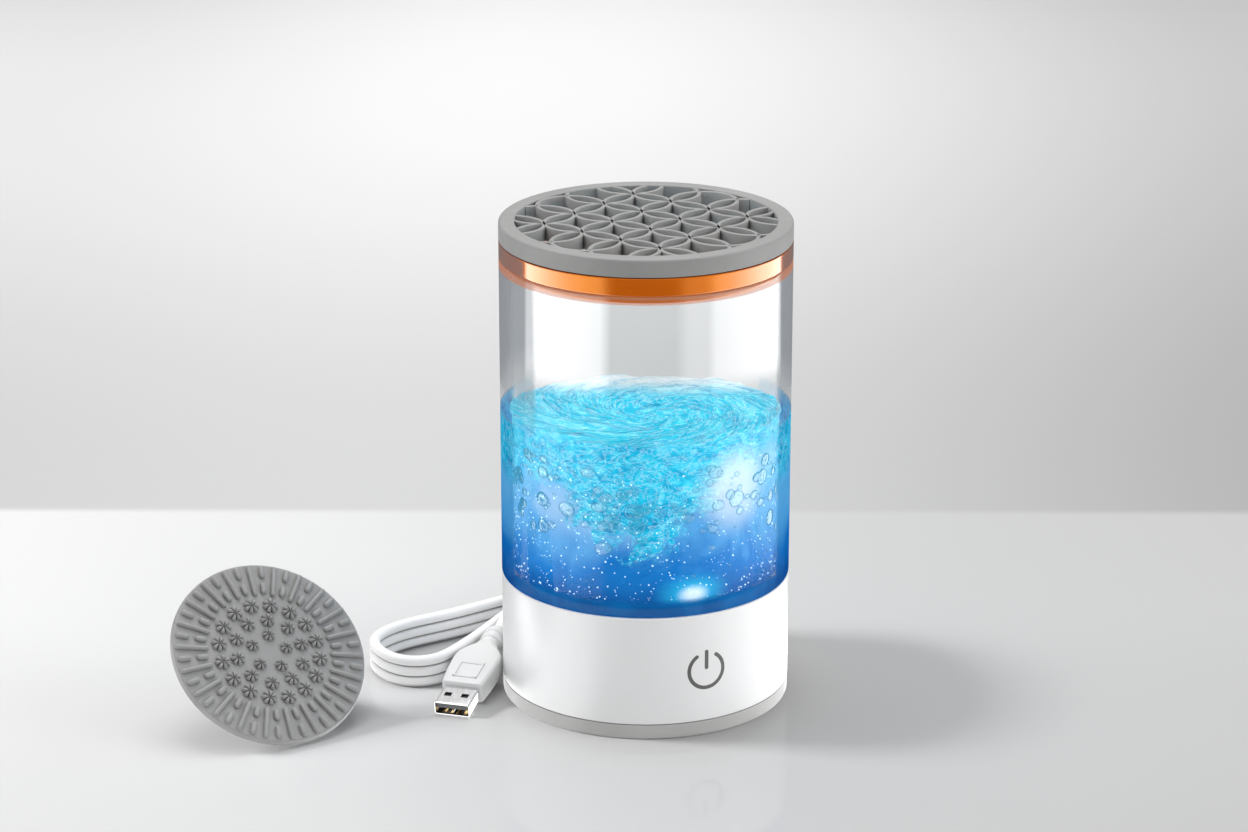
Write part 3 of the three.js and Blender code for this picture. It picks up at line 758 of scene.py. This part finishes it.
def make_bubbles():
    """Air bubbles pressed flat against the cup, and the fine specks of froth between them."""
    rng = random.Random(11)
    gap = (WATER_DRAW * WATER_R, CUP_INNER_R)
    middle = sum(gap) / 2
    half = (gap[1] - gap[0]) / 2 - 0.08
    ball, dot = ball_data(), ball_data(4, 7)
    large, small = [], []
    for _ in range(BUBBLES):
        angle = rng.uniform(0, 2 * math.pi)
        size = 0.4 + 2.9 * rng.random() ** 2.4
        height = rng.triangular(60, 92, 82) if size > 0.8 else rng.uniform(52, 94)
        flat = Matrix.Diagonal((min(half, size), size, size * rng.uniform(0.62, 0.95), 1))
        large.append(placed(ball, spoke(angle, middle, height) @ flat))
    for _ in range(SPECKS):
        angle = rng.uniform(0, 2 * math.pi)
        height = 46 + 44 * rng.random() ** 1.4
        size = 0.1 + 0.24 * rng.random() ** 2
        place = spoke(angle, middle + rng.uniform(-0.2, 0.3), height)
        small.append(placed(dot, place @ Matrix.Diagonal((size, size, size, 1))))
    bubbles = in_cup(link_mesh("water_bubbles", *merged(large), 80))
    specks = in_cup(link_mesh("water_specks", *merged(small), 80))
    return bubbles, specks


# ---- Materials --------------------------------------------------------------------------------

def rgba(value):
    """A colour, or a grey from one number, with full alpha."""
    return (*value[:3], 1) if hasattr(value, "__len__") else (value, value, value, 1)


def shaded(color, share):
    """The colour made darker or lighter by a share."""
    return tuple(min(1, c * share) for c in color)


class Nodes:
    """A node tree with short ways to add nodes; a value is a number, a colour or a node's output."""

    def __init__(self, tree):
        self.tree = tree

    def put(self, value, socket):
        if isinstance(value, bpy.types.NodeSocket):
            self.tree.links.new(value, socket)
        elif socket.type == "RGBA":
            socket.default_value = rgba(value)
        else:
            socket.default_value = value

    def node(self, kind, inputs=None, **settings):
        node = self.tree.nodes.new("ShaderNode" + kind)
        for name, value in settings.items():
            setattr(node, name, value)
        for name, value in (inputs or {}).items():
            self.put(value, node.inputs[name])
        return node

    def math(self, operation, a, b=0, clamp=False):
        return self.node("Math", {0: a, 1: b}, operation=operation, use_clamp=clamp).outputs[0]

    def plus(self, *values):
        return reduce(lambda a, b: self.math("ADD", a, b), values)

    def times(self, *values):
        return reduce(lambda a, b: self.math("MULTIPLY", a, b), values)

    def minus(self, a, b):
        return self.math("SUBTRACT", a, b)

    def range(self, source, low, high, out_low=0, out_high=1, kind="SMOOTHSTEP"):
        """The source's stretch from low to high, carried over to the other two numbers."""
        limits = {"From Min": low, "From Max": high, "To Min": out_low, "To Max": out_high}
        return self.node("MapRange", {"Value": source, **limits}, interpolation_type=kind).outputs["Result"]

    def ramp(self, source, *stops):
        node = self.node("ValToRGB", {"Fac": source})
        elements = node.color_ramp.elements
        while len(elements) < len(stops):
            elements.new(0.5)
        for element, (position, color) in zip(elements, stops):
            element.position = position
            element.color = rgba(color)
        return node.outputs["Color"]

    def mix(self, factor, a, b, blend="MIX"):
        """Two colours mixed."""
        return self.node("Mix", {0: factor, 6: a, 7: b}, data_type="RGBA", blend_type=blend).outputs[2]

    def pick(self, factor, a, b):
        """Two numbers mixed."""
        return self.node("Mix", {0: factor, 2: a, 3: b}, data_type="FLOAT").outputs[0]

    def layer(self, factor, under, over):
        """One shader over another."""
        return self.node("MixShader", {0: factor, 1: under, 2: over}).outputs[0]

    def shader_node(self, kind, **inputs):
        return self.node(kind, inputs).outputs[0]


class Look(Nodes):
    """A material round a Principled shader, in the part's own metres."""

    def __init__(self, name, color, rough, sockets=None):
        self.material = bpy.data.materials.new(name)
        self.material.use_nodes = True
        super().__init__(self.material.node_tree)
        self.principled = self.tree.nodes["Principled BSDF"]
        self.body = self.principled.outputs[0]
        self.place = self.node("TexCoord").outputs["Object"]
        for socket, value in {"Base Color": color, "Roughness": rough, **(sockets or {})}.items():
            self.feed(socket, value)

    def feed(self, socket, value):
        self.put(value, self.principled.inputs[socket])

    def show(self, shader):
        """Makes a shader the surface in place of the Principled one alone."""
        self.put(shader, self.tree.nodes["Material Output"].inputs["Surface"])

    def glow(self, color, strength):
        """The colour, with a little painted light of its own, an emission, as if light came through."""
        self.feed("Base Color", color)
        self.feed("Emission Color", color)
        self.feed("Emission Strength", strength)

    def bump(self, height, strength, distance):
        inputs = {"Strength": strength, "Distance": distance, "Height": height}
        self.feed("Normal", self.node("Bump", inputs).outputs["Normal"])

    def uneven(self, scale, low, high):
        """Roughness that varies between two values in soft patches."""
        self.feed("Roughness", self.range(self.noise(scale, 3), 0.3, 0.7, low, high))

    def paint_crease_shade(self, reach, darkest):
        """Paints shade into the folds of the surface: darkens the colour where little of the space within
        reach is open.
        """
        tone = self.principled.inputs["Base Color"].links[0].from_socket
        open_air = self.node("AmbientOcclusion", {"Distance": reach}, samples=6).outputs["AO"]
        shade = self.ramp(open_air, (0.15, darkest), (0.65, 1))
        self.feed("Base Color", self.mix(1, tone, shade, "MULTIPLY"))

    def noise(self, scale, detail=3, distortion=0, rough=0.5, place=None):
        inputs = {"Scale": scale, "Detail": detail, "Distortion": distortion, "Roughness": rough}
        return self.node("TexNoise", {"Vector": place or self.place, **inputs}).outputs["Fac"]

    def sway(self, noise, amount):
        """A noise as a shift to either side of zero."""
        return self.times(self.minus(noise, 0.5), amount)

    def stretched(self, scale):
        """The place with its axes scaled."""
        return self.node("Mapping", {"Vector": self.place, "Scale": scale}).outputs[0]

    def vector(self, operation, a, b=(0, 0, 0), output=0):
        return self.node("VectorMath", {0: a, 1: b}, operation=operation).outputs[output]

    def radius(self):
        """Distance from the part's own Z axis."""
        return self.vector("LENGTH", self.vector("MULTIPLY", self.place, (1, 1, 0)), output="Value")

    def distance(self, point, squash=1):
        """Distance from a point, with heights counted squash times."""
        scaled = self.vector("MULTIPLY", self.place, (1, 1, squash))
        x, y, z = point
        return self.vector("DISTANCE", scaled, (x, y, z * squash), "Value")

    def axis(self, name):
        return self.node("SeparateXYZ", {"Vector": self.place}).outputs[name]

    def facing(self):
        """From 0 where the surface faces the eye to 1 where it turns away."""
        return self.node("LayerWeight", {"Blend": 0.5}).outputs["Facing"]


def moulded(name, color, rough, spread=0.04, grain=900, bump=0.05, patch=35, sockets=None):
    """Moulded plastic or rubber: faint cloudy tone, uneven gloss and a fine tool grain."""
    look = Look(name, color, rough, sockets)
    tones = (0.3, shaded(color, 1 - spread)), (0.7, shaded(color, 1 + spread))
    look.feed("Base Color", look.ramp(look.noise(patch, 4), *tones))
    look.uneven(patch * 3, rough * 0.86, rough * 1.14)
    look.bump(look.noise(grain, 2), bump, 0.0004)
    return look


def metal(name, color, rough, grain=(40, 40, 1200), bump=0.06):
    """Drawn or turned metal: fine lines along one direction and slightly uneven polish."""
    look = Look(name, color, rough, {"Metallic": 1})
    lines = look.noise(1, 4, place=look.stretched(grain))
    look.feed("Base Color", look.ramp(lines, (0.25, shaded(color, 0.82)), (0.75, color)))
    look.uneven(120, rough * 0.75, rough * 1.35)
    look.bump(lines, bump, 0.0002)
    return look


def silicone(name, color):
    """Matt moulded silicone: dusty tone, tiny specks, painted shade in the creases and a fine orange-peel
    skin.
    """
    look = Look(name, color, 0.52, {"Specular IOR Level": 0.42, "Sheen Weight": 0.12, "Sheen Roughness": 0.4})
    tone = look.ramp(look.noise(45, 5), (0.28, shaded(color, 0.93)), (0.72, shaded(color, 1.05)))
    speck = look.range(look.noise(2600, 1), 0.66, 0.78)
    look.feed("Base Color", look.mix(speck, tone, shaded(color, 1.25)))
    # Painted shade in the creases and between the ribs.
    look.paint_crease_shade(0.0025, 0.45)
    look.uneven(160, 0.46, 0.6)
    look.bump(look.noise(1500, 2), 0.14, 0.0003)
    return look


CHURN_SCALE = 105                           # how fine the churned water is
WALL_CHURN = (0.074, 0.088)                 # the heights between which calm water becomes churned
SIDE_CHURN = (0.0775, 0.087)
WET_EDGE_SHADE = (0.5, 0.66, 0.8)                # painted shade: the share of the water's colour that the cup's thick edges keep
LIGHT_PATCH = (0.029, -0.0325, 0.081)       # the middle of a painted patch of light in the water, in metres
# Where the painted glow near the bottom of the water sits, in metres.
BOTTOM_GLOW = (0.0154, -0.0405, 0.0477)


def wall_mirror(look, facing, height):
    """How much of the room the wall mirrors: some where it is dry, hardly any in front of water."""
    above = look.range(height, (WATER_LEVEL + 12) * MM, (WATER_LEVEL + 26) * MM)
    straight = look.range(above, 0, 1, 0.014, 0.17)
    slanted = look.times(look.math("POWER", facing, 4), look.range(above, 0, 1, 0.1, 0.5))
    seen_side = look.minus(1, look.node("NewGeometry").outputs["Backfacing"])
    return look.times(look.plus(straight, slanted), seen_side)


def clear_wall():
    """The clear cup: sees through, mirrors the room and has a painted grey reflection at its thick edges, or
    the water's blue with painted shade below the water line. A painted glow of the amber ring lies in its
    rim."""
    look = Look("clear_wall", (0.9, 0.93, 0.95), 0.3, {"Specular IOR Level": 0})
    facing = look.facing()
    height = look.axis("Z")
    outer = look.range(look.radius(), (BODY_R - 2) * MM, (BODY_R - 0.5) * MM)
    level = look.plus(height, look.sway(look.noise(12, 2), 0.002))
    wet = look.range(level, WATER_LEVEL * MM - 0.0015, WATER_LEVEL * MM + 0.0005, 1, 0)

    calm = water_tone(look, height, look.sway(look.noise(42, 6, 1.5, 0.6), 0.4))
    churn, _ = churn_color(look, look.place, CHURN_SCALE)
    water = look.mix(look.range(height, *WALL_CHURN), calm, churn)
    # Painted shade where the wall turns away below the water line.
    turned = look.plus(look.range(facing, 0.38, 0.42, 0, 0.22), look.range(facing, 0.56, 0.65, 0, 0.75))
    water = look.mix(turned, water, WET_EDGE_SHADE, "MULTIPLY")
    # Painted grey reflection on the dry edges, the water's colour on the wet ones.
    look.feed("Base Color", look.mix(wet, (0.27, 0.28, 0.3), water))

    # Painted reflection: a grey band at the dry thick edges, wider on the left and fainter near the water.
    shift = look.range(look.axis("X"), -0.02, 0.02, 0, 0.2)
    painted_grey_edge = look.range(look.minus(facing, shift), 0.36, 0.41, 0, 0.5)
    painted_grey_edge = look.plus(painted_grey_edge, look.range(facing, 0.55, 0.8, 0, 0.25))
    off_water = look.range(height, (WATER_LEVEL + 2) * MM, (WATER_LEVEL + 14) * MM, 0.3, 1)
    sump = look.range(height, (FLOOR_TOP + 2.6) * MM, (FLOOR_TOP + 5) * MM, 0.94, 0)
    edge = look.pick(wet, look.times(painted_grey_edge, off_water), look.math("MAXIMUM", turned, sump))

    through = look.shader_node("BsdfTransparent", Color=(0.985, 0.993, 0.996))
    gloss = look.shader_node("BsdfGlossy", Roughness=0.03, Color=(1, 1, 1))
    clear = look.layer(look.times(wall_mirror(look, facing, height), outer), through, gloss)
    wall = look.layer(look.times(edge, outer), clear, look.body)
    # Painted glow: the amber ring's orange light, as an emission in the cup's rim.
    rim = look.range(height, (CUP_TOP - 2.7) * MM, (CUP_TOP - 2.4) * MM, 0, 0.55)
    amber = look.shader_node("Emission", Color=(0.62, 0.17, 0.035), Strength=1)
    look.show(look.layer(look.times(rim, outer), wall, amber))
    return look


def water_level(look, height):
    """0 at the bottom of the water and 1 at its surface."""
    return look.range(height, FLOOR_TOP * MM, WATER_LEVEL * MM, kind="LINEAR")


def water_tone(look, height, drift):
    """The water's colour by its height, from deep blue to cyan; drift is an output that stirs it."""
    return look.ramp(
        look.plus(water_level(look, height), drift),
        (0.0, (0.004, 0.10, 0.34)), (0.2, (0.008, 0.19, 0.54)), (0.42, (0.11, 0.42, 0.74)),
        (0.62, (0.17, 0.50, 0.78)), (0.8, (0.03, 0.50, 0.76)), (1.0, (0.01, 0.55, 0.76)),
    )


def churn_color(look, place, scale):
    """Cyan churned water with painted shade in dark troughs and thin pale lines of painted highlight like
    light on ripples, and its noise.
    """
    cloud = look.noise(scale, 7, 1.8, 0.68, place)
    # Painted shade in the troughs, dark blue, rising to pale cyan.
    color = look.ramp(
        cloud, (0.30, (0.0, 0.20, 0.40)), (0.44, (0.004, 0.42, 0.64)), (0.56, (0.02, 0.60, 0.78)),
        (0.68, (0.22, 0.80, 0.90)), (0.8, (0.7, 0.96, 0.99)),
    )
    # Thin painted highlights along the ripples.
    wave = look.noise(scale * 1.6, 5, 2.2, 0.62, place)
    lines = look.range(look.math("ABSOLUTE", look.minus(wave, 0.5)), 0, 0.05, 1, 0)
    return look.mix(look.times(lines, 0.42), color, (0.66, 0.94, 0.98)), cloud


def churn_depth(look, height):
    """The height as the churned water counts it: it reaches down in ragged lobes in front and behind."""
    x = look.axis("X")
    turn = look.math("ARCTAN2", x, look.times(look.axis("Y"), -1))
    lobe = look.math("MAXIMUM", look.math("COSINE", look.times(turn, 2)), 0)
    reach = look.minus(look.times(look.math("POWER", lobe, 0.8), 0.016), look.range(x, 0.01, 0.034, 0, 0.008))
    return look.plus(height, look.sway(look.noise(60, 8, 1.6, 0.7), 0.06), reach)


def water_side_look():
    """Water seen through the wall: churned cyan, then pale blue, then deep blue, all with a faint painted
    glow, a painted patch of light and one bright painted glow near the bottom.
    """
    look = Look("wash_water_side", (0.05, 0.4, 0.7), 0.35, {"IOR": 1.33, "Specular IOR Level": 0.1})
    height = look.axis("Z")
    level = water_level(look, height)
    stir = look.range(level, 0.05, 0.4, 0.25, 0.7)
    calm = water_tone(look, height, look.sway(look.noise(42, 6, 1.5, 0.6), stir))
    pale = look.times(look.range(look.noise(26, 3, 0.6), 0.5, 0.66), look.range(level, 0.3, 0.6, 0, 0.5))
    calm = look.mix(pale, calm, (0.62, 0.80, 0.90))
    churn, cloud = churn_color(look, look.stretched((1, 1, 1.6)), CHURN_SCALE)
    churned = look.range(churn_depth(look, height), *SIDE_CHURN)
    color = look.mix(churned, calm, churn)
    # A painted patch of light round LIGHT_PATCH.
    patch = look.range(look.distance(LIGHT_PATCH), 0.003, 0.018, 0.85, 0)
    color = look.mix(patch, color, (0.84, 0.96, 1.0))
    # A painted glow round BOTTOM_GLOW: a blue halo and a bright pale core that shows through.
    glow_from = look.distance(BOTTOM_GLOW, 1.7)
    color = look.mix(look.range(glow_from, 0.002, 0.015, 0.85, 0), color, (0.03, 0.55, 0.85))
    core = look.range(glow_from, 0.0012, 0.0066, 1, 0)
    look.glow(look.mix(core, color, (0.8, 0.96, 1.0)), 0.3)
    cover = look.plus(look.range(level, 0.08, 0.4, 0.98, 0.72), look.times(churned, 0.14))
    look.feed("Alpha", look.math("ADD", cover, core, clamp=True))
    look.bump(cloud, 0.5, 0.0008)
    return look


def water_top_look():
    """The stirred surface: spiral ripples with painted shade in the troughs, painted highlight lines, a
    painted glow and pale grey patches towards the back.
    """
    look = Look("wash_water_top", (0.05, 0.5, 0.7), 0.1, {"IOR": 1.33, "Alpha": 0.94})
    angle = look.times(look.radius(), 60)
    turned = {"Vector": look.place, "Angle": angle}
    spiral = look.node("VectorRotate", turned, rotation_type="Z_AXIS").outputs[0]
    color, cloud = churn_color(look, spiral, 85)
    pale_towards_back = look.times(look.range(look.axis("Y"), 0.012, 0.042), look.range(cloud, 0.3, 0.52))
    # A faint painted glow over the surface.
    look.glow(look.mix(pale_towards_back, color, (0.74, 0.79, 0.8)), 0.4)
    fine = look.noise(260, 5, 1.5, 0.6, spiral)
    look.bump(look.plus(cloud, look.times(fine, 0.5)), 0.85, 0.0025)
    return look


def froth_look():
    """Cyan froth with the rims of its small bubbles, made bright by a painted glow."""
    look = Look("water_froth", (0.02, 0.6, 0.85), 0.15, {"IOR": 1.33})
    cells = look.node("TexVoronoi", {"Vector": look.place, "Scale": 420}, feature="DISTANCE_TO_EDGE")
    rims = look.range(cells.outputs["Distance"], 0.02, 0.14, 1, 0)
    cloud = look.noise(80, 6, 1.5, 0.65)
    color = look.ramp(
        cloud, (0.3, (0.0, 0.22, 0.5)), (0.5, (0.005, 0.5, 0.8)), (0.66, (0.06, 0.75, 0.92)),
        (0.8, (0.5, 0.93, 1)),
    )
    # Painted glow that makes the froth bright.
    look.glow(look.mix(look.times(rims, 0.35), color, (0.65, 0.95, 1)), 0.55)
    look.bump(look.plus(cloud, look.times(rims, 0.4)), 0.6, 0.0015)
    return look


def bubble_look():
    """Air in water: clear in the middle, a dark blue rim of painted shade with a faint painted glow, and
    bright mirrored points.
    """
    look = Look("bubble_skin", (0.02, 0.3, 0.5), 0.05)
    facing = look.facing()
    look.glow(look.mix(look.noise(600, 2), (0.0, 0.17, 0.34), (0.01, 0.36, 0.52)), 0.15)
    through = look.shader_node("BsdfTransparent", Color=(0.93, 1, 1))
    # Painted shade: the dark blue rim where the skin turns away.
    skin = look.layer(look.range(facing, 0.3, 0.72, 0.05, 0.96), through, look.body)
    shine = look.plus(look.times(look.math("POWER", facing, 4), 0.7), 0.08)
    look.show(look.layer(shine, skin, look.shader_node("BsdfGlossy", Roughness=0.05)))
    return look


def speck_look():
    """Tiny bubbles, made bright by a painted glow."""
    look = Look("bubble_specks", (0.75, 0.93, 1), 0.2)
    look.glow(look.mix(look.noise(300, 2), (0.35, 0.75, 0.95), (0.95, 1, 1)), 0.5)
    return look


def amber_look():
    """Translucent amber: deep orange with a faint painted glow under a clear coat, and mostly gloss where it
    turns away.
    """
    look = Look("amber_plastic", (0.5, 0.1, 0.003), 0.14, {
        "IOR": 2.8, "Specular Tint": (1.0, 0.42, 0.05), "Coat IOR": 2.05, "Coat Roughness": 0.04,
        "Alpha": 0.96,
    })
    facing = look.facing()
    # A faint painted glow, as if light came through the amber.
    look.glow(look.ramp(look.noise(30, 3), (0.3, (0.5, 0.085, 0.0)), (0.7, (0.62, 0.12, 0.001))), 0.1)
    look.feed("Coat Weight", look.range(facing, 0.1, 0.42, 0.12, 1))
    look.uneven(140, 0.1, 0.2)
    look.bump(look.noise(700, 2), 0.03, 0.0003)
    shift = look.range(look.axis("X"), -0.02, 0.02, 0, 0.165)
    turned = look.range(look.minus(facing, shift), 0.462, 0.478, 0, 0.6)
    gloss = look.shader_node("BsdfGlossy", Roughness=0.1, Color=(0.85, 0.83, 0.85))
    look.show(look.layer(turned, look.body, gloss))
    return look


def cord_look(name, color, rough, sockets=None):
    """Soft sheath with a faint extruded texture, and painted shade where turns touch."""
    look = moulded(name, color, rough, 0.03, 1400, 0.08, 60, sockets)
    # Painted shade in the gaps where the turns touch.
    look.paint_crease_shade(0.004, 0.35)
    return look


def board_look():
    """Green solder mask over a grid of tracks."""
    look = Look("solder_mask", (0.02, 0.18, 0.07), 0.35)
    grid = look.node("TexBrick", {"Vector": look.place, "Scale": 260, "Mortar Size": 0.03}).outputs["Fac"]
    look.feed("Base Color", look.mix(grid, (0.018, 0.15, 0.06), (0.05, 0.3, 0.13)))
    look.bump(grid, 0.2, 0.0003)
    return look


def copper_look():
    """Lacquered wire in even turns."""
    look = Look("wound_copper", (0.6, 0.24, 0.09), 0.35, {"Metallic": 0.9})
    inputs = {"Vector": look.place, "Scale": 420, "Distortion": 0.4}
    wave = look.node("TexWave", inputs, bands_direction="Z").outputs["Fac"]
    look.feed("Base Color", look.ramp(wave, (0.1, (0.3, 0.1, 0.03)), (0.7, (0.75, 0.33, 0.13))))
    look.bump(wave, 0.5, 0.0004)
    return look


def make_looks():
    """A material for each slot of the record."""
    gloss_coat = {"Coat Weight": 0.75, "Coat Roughness": 0.36, "Coat IOR": 1.55}
    sheath, grip = {"Specular IOR Level": 0.12}, {"Specular IOR Level": 0.15}
    return {
        "white_shell": moulded("gloss_white", (0.775, 0.78, 0.785), 0.35, 0.012, 700, 0.012, 25, gloss_coat),
        "grey_foot": moulded("foot_rubber", (0.44, 0.44, 0.435), 0.42, 0.05, 1300, 0.1),
        "grey_silicone": silicone("silicone_grey", (0.268, 0.268, 0.265)),
        "clear_cup": clear_wall(),
        "amber_collar": amber_look(),
        "dark_mark": moulded("mark_grey", (0.1, 0.1, 0.1), 0.4, 0.12, 900, 0.05),
        "black_plastic": moulded("black_moulding", (0.02, 0.02, 0.021), 0.38, 0.25, 1100, 0.1),
        "black_rubber": moulded("black_rubber", (0.025, 0.025, 0.025), 0.6, 0.2, 800, 0.2),
        "magnet": moulded("ferrite", (0.06, 0.06, 0.062), 0.5, 0.3, 1600, 0.3),
        "steel": metal("satin_steel", (0.6, 0.61, 0.62), 0.26),
        "plated_steel": metal("bright_plate", (0.82, 0.82, 0.83), 0.16, (900, 40, 900), 0.03),
        "bronze": metal("turned_bronze", (0.75, 0.52, 0.24), 0.28, (60, 60, 1500)),
        "copper": copper_look(),
        "board_green": board_look(),
        "red_lead": cord_look("red_sleeve", (0.5, 0.02, 0.015), 0.35),
        "black_lead": cord_look("black_sleeve", (0.02, 0.02, 0.02), 0.35),
        "grey_lead": cord_look("grey_sleeve", (0.28, 0.28, 0.28), 0.35),
        "cord_white": cord_look("cord_sheath", (0.97, 0.97, 0.97), 0.45, sheath),
        "plug_white": moulded("plug_moulding", (0.74, 0.745, 0.745), 0.45, 0.02, 1300, 0.12, sockets=grip),
    }


def paint(piece, *looks):
    """Gives a piece its materials; faces say which of them they have."""
    picks = [face.material_index for face in piece.data.polygons]
    piece.data.materials.clear()
    for look in looks:
        piece.data.materials.append(look.material)
    if len(looks) > 1:
        piece.data.polygons.foreach_set("material_index", picks)


# ---- Stage ------------------------------------------------------------------------------------

BACK_LINE = 0.166     # where the table's tone ends and the backdrop's grey begins, in metres
FLOOR_HALF = 6000

# What mirrors see of the studio, by degrees from the front towards the right: soft boxes and flags.
STUDIO = [
    (-180, 0.2), (-105, 0.2), (-102, 3.6), (-34, 2.0), (-26, 0.15), (22, 0.15), (32, 0.9), (47, 1.0),
    (54, 2.0), (124, 3.6), (127, 0.2), (180, 0.2),
]


def studio_band(nodes, x, y, strength=1):
    """The studio's brightness in the direction of x and y."""
    angle = nodes.math("ARCTAN2", x, nodes.times(y, -1))
    share = nodes.range(angle, -math.pi, math.pi, kind="LINEAR")
    return nodes.ramp(share, *(((degrees + 180) / 360, value * strength) for degrees, value in STUDIO))


def floor_tone(look, x, y):
    """The table's tone, darkened to the right and towards the front by painted shade, and behind it the
    backdrop's grey, which painted light makes lighter far off and painted shade makes darker at the sides."""
    # Painted shade: the table darker to the right and towards the front.
    near = look.times(look.range(x, -0.15, 0.12, 0.44, 0.375), look.range(y, -0.14, 0.08, 0.93, 1.05))
    # Painted light and shade: the backdrop lighter far off and darker at both sides.
    fade = look.range(y, BACK_LINE, 1.1, 0.385, 0.8)
    far = look.times(fade, look.range(x, -0.03, 0.38, 1, 0.68), look.range(x, -0.36, -0.06, 0.8, 1))
    return look.pick(look.range(y, BACK_LINE - 0.004, BACK_LINE + 0.004), near, far)


def make_floor():
    """A pale floor with painted shade in its tone; in mirrors it shows painted reflections of the studio's
    bands, a little brighter close to the object.
    """
    corners = [(x * FLOOR_HALF, y * FLOOR_HALF, 0) for x, y in ((-1, -1), (1, -1), (1, 1), (-1, 1))]
    floor = link_mesh("studio_floor", corners, [(0, 1, 2, 3)])
    look = Look("studio_floor", (0.8, 0.8, 0.8), 0.05, {"Specular IOR Level": 0.16})
    x, y = look.axis("X"), look.axis("Y")
    tone = floor_tone(look, x, y)
    look.feed("Base Color", look.node("CombineColor", {"Red": tone, "Green": tone, "Blue": tone}).outputs[0])
    # Painted reflection for mirrors: the studio's bands, a little brighter close to the object.
    lift = look.range(look.radius(), 0.14, 0.2, 0.25, 0)
    band = look.mix(1, studio_band(look, x, y), lift, "ADD")
    in_mirror = look.node("LightPath").outputs["Is Glossy Ray"]
    look.show(look.layer(in_mirror, look.body, look.shader_node("Emission", Color=band)))
    paint(floor, look)
    return floor


def make_world():
    """The same studio as light from all round. Mirrors see a dim horizon under a bright ceiling here,
    and anything that looks at it directly sees a pale plain tone."""
    world = bpy.data.worlds.new("studio")
    world.use_nodes = True
    bpy.context.scene.world = world
    sky = Nodes(world.node_tree)
    direction = sky.node("SeparateXYZ", {0: sky.node("TexCoord").outputs["Generated"]}).outputs
    ray = sky.node("LightPath").outputs
    horizon = sky.mix(ray["Is Glossy Ray"], studio_band(sky, direction["X"], direction["Y"], 0.7), 0.15)
    ceiling = sky.mix(ray["Is Glossy Ray"], 0.55, 1.3)
    dome = sky.mix(sky.range(direction["Z"], 0.35, 0.8, kind="LINEAR"), horizon, ceiling)
    background = world.node_tree.nodes["Background"].inputs
    sky.put(sky.mix(ray["Is Camera Ray"], dome, 0.72), background["Color"])
    sky.put(0.9, background["Strength"])


def area_light(name, place, size, power, glossy=False, target=(0, 0, 0.05)):
    data = bpy.data.lights.new(name, "AREA")
    data.shape = "RECTANGLE"
    data.size, data.size_y = size
    data.energy = power
    light = bpy.data.objects.new(name, data)
    light.location = place
    light.rotation_euler = (Vector(target) - Vector(place)).to_track_quat("-Z", "Y").to_euler()
    light.visible_glossy = glossy
    bpy.context.scene.collection.objects.link(light)
    return light


def make_lights(floor):
    """A soft ceiling box and three fills; the key lights only the floor, for the shadow on it."""
    area_light("overhead", (-0.1, 0.5, 1.7), (1.4, 1.0), 21, True, (0, 0.3, 0.05))
    area_light("fill_left", (-1.25, 0.0, 0.7), (0.4, 0.4), 3)
    area_light("fill_right", (1.2, -0.35, 0.5), (0.7, 0.7), 6)
    area_light("fill_front", (0.1, -1.5, 0.55), (0.9, 0.7), 4.5)
    key = area_light("key_left", (-1.25, 0.13, 0.72), (0.3, 0.3), 24)
    table = bpy.data.collections.new("table")
    table.objects.link(floor)
    key.light_linking.receiver_collection = table


def set_view():
    scene = bpy.context.scene
    scene.view_settings.view_transform = "Standard"
    scene.view_settings.look = "None"
    scene.cycles.transparent_max_bounces = 24
    scene.cycles.use_denoising = True


# ---- Build ------------------------------------------------------------------------------------

make_camera()
cord_path = smooth_path(cord_points(), CORD_STEP)
cord = make_cord(cord_path)
relief = make_strain_relief()
plug_parts = [make_plug_body(), make_plug_boot(), make_plug_shell()]

make_foot()
make_shell()
make_power_mark()
make_cup()
make_collar()
make_holder()
make_pad()
make_pad_socket()
water = make_water()
froth = make_plume()
bubbles, specks = make_bubbles()

looks = make_looks()
special = {
    water.name: (water_side_look(), water_top_look()),
    froth.name: (froth_look(),),
    bubbles.name: (bubble_look(),),
    specks.name: (speck_look(),),
}
slots = {row["node"]: row["material_slot"] for row in frame["record"]["subparts"]}
for node_name, node_object in NODES.items():
    paint(node_object, looks[slots[node_name]])
for piece in bpy.context.scene.objects:
    if piece.name in special:
        paint(piece, *special[piece.name])
    elif "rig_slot" in piece:
        paint(piece, looks[piece["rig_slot"]])

make_world()
make_lights(make_floor())
set_view()

bpy.context.view_layer.update()
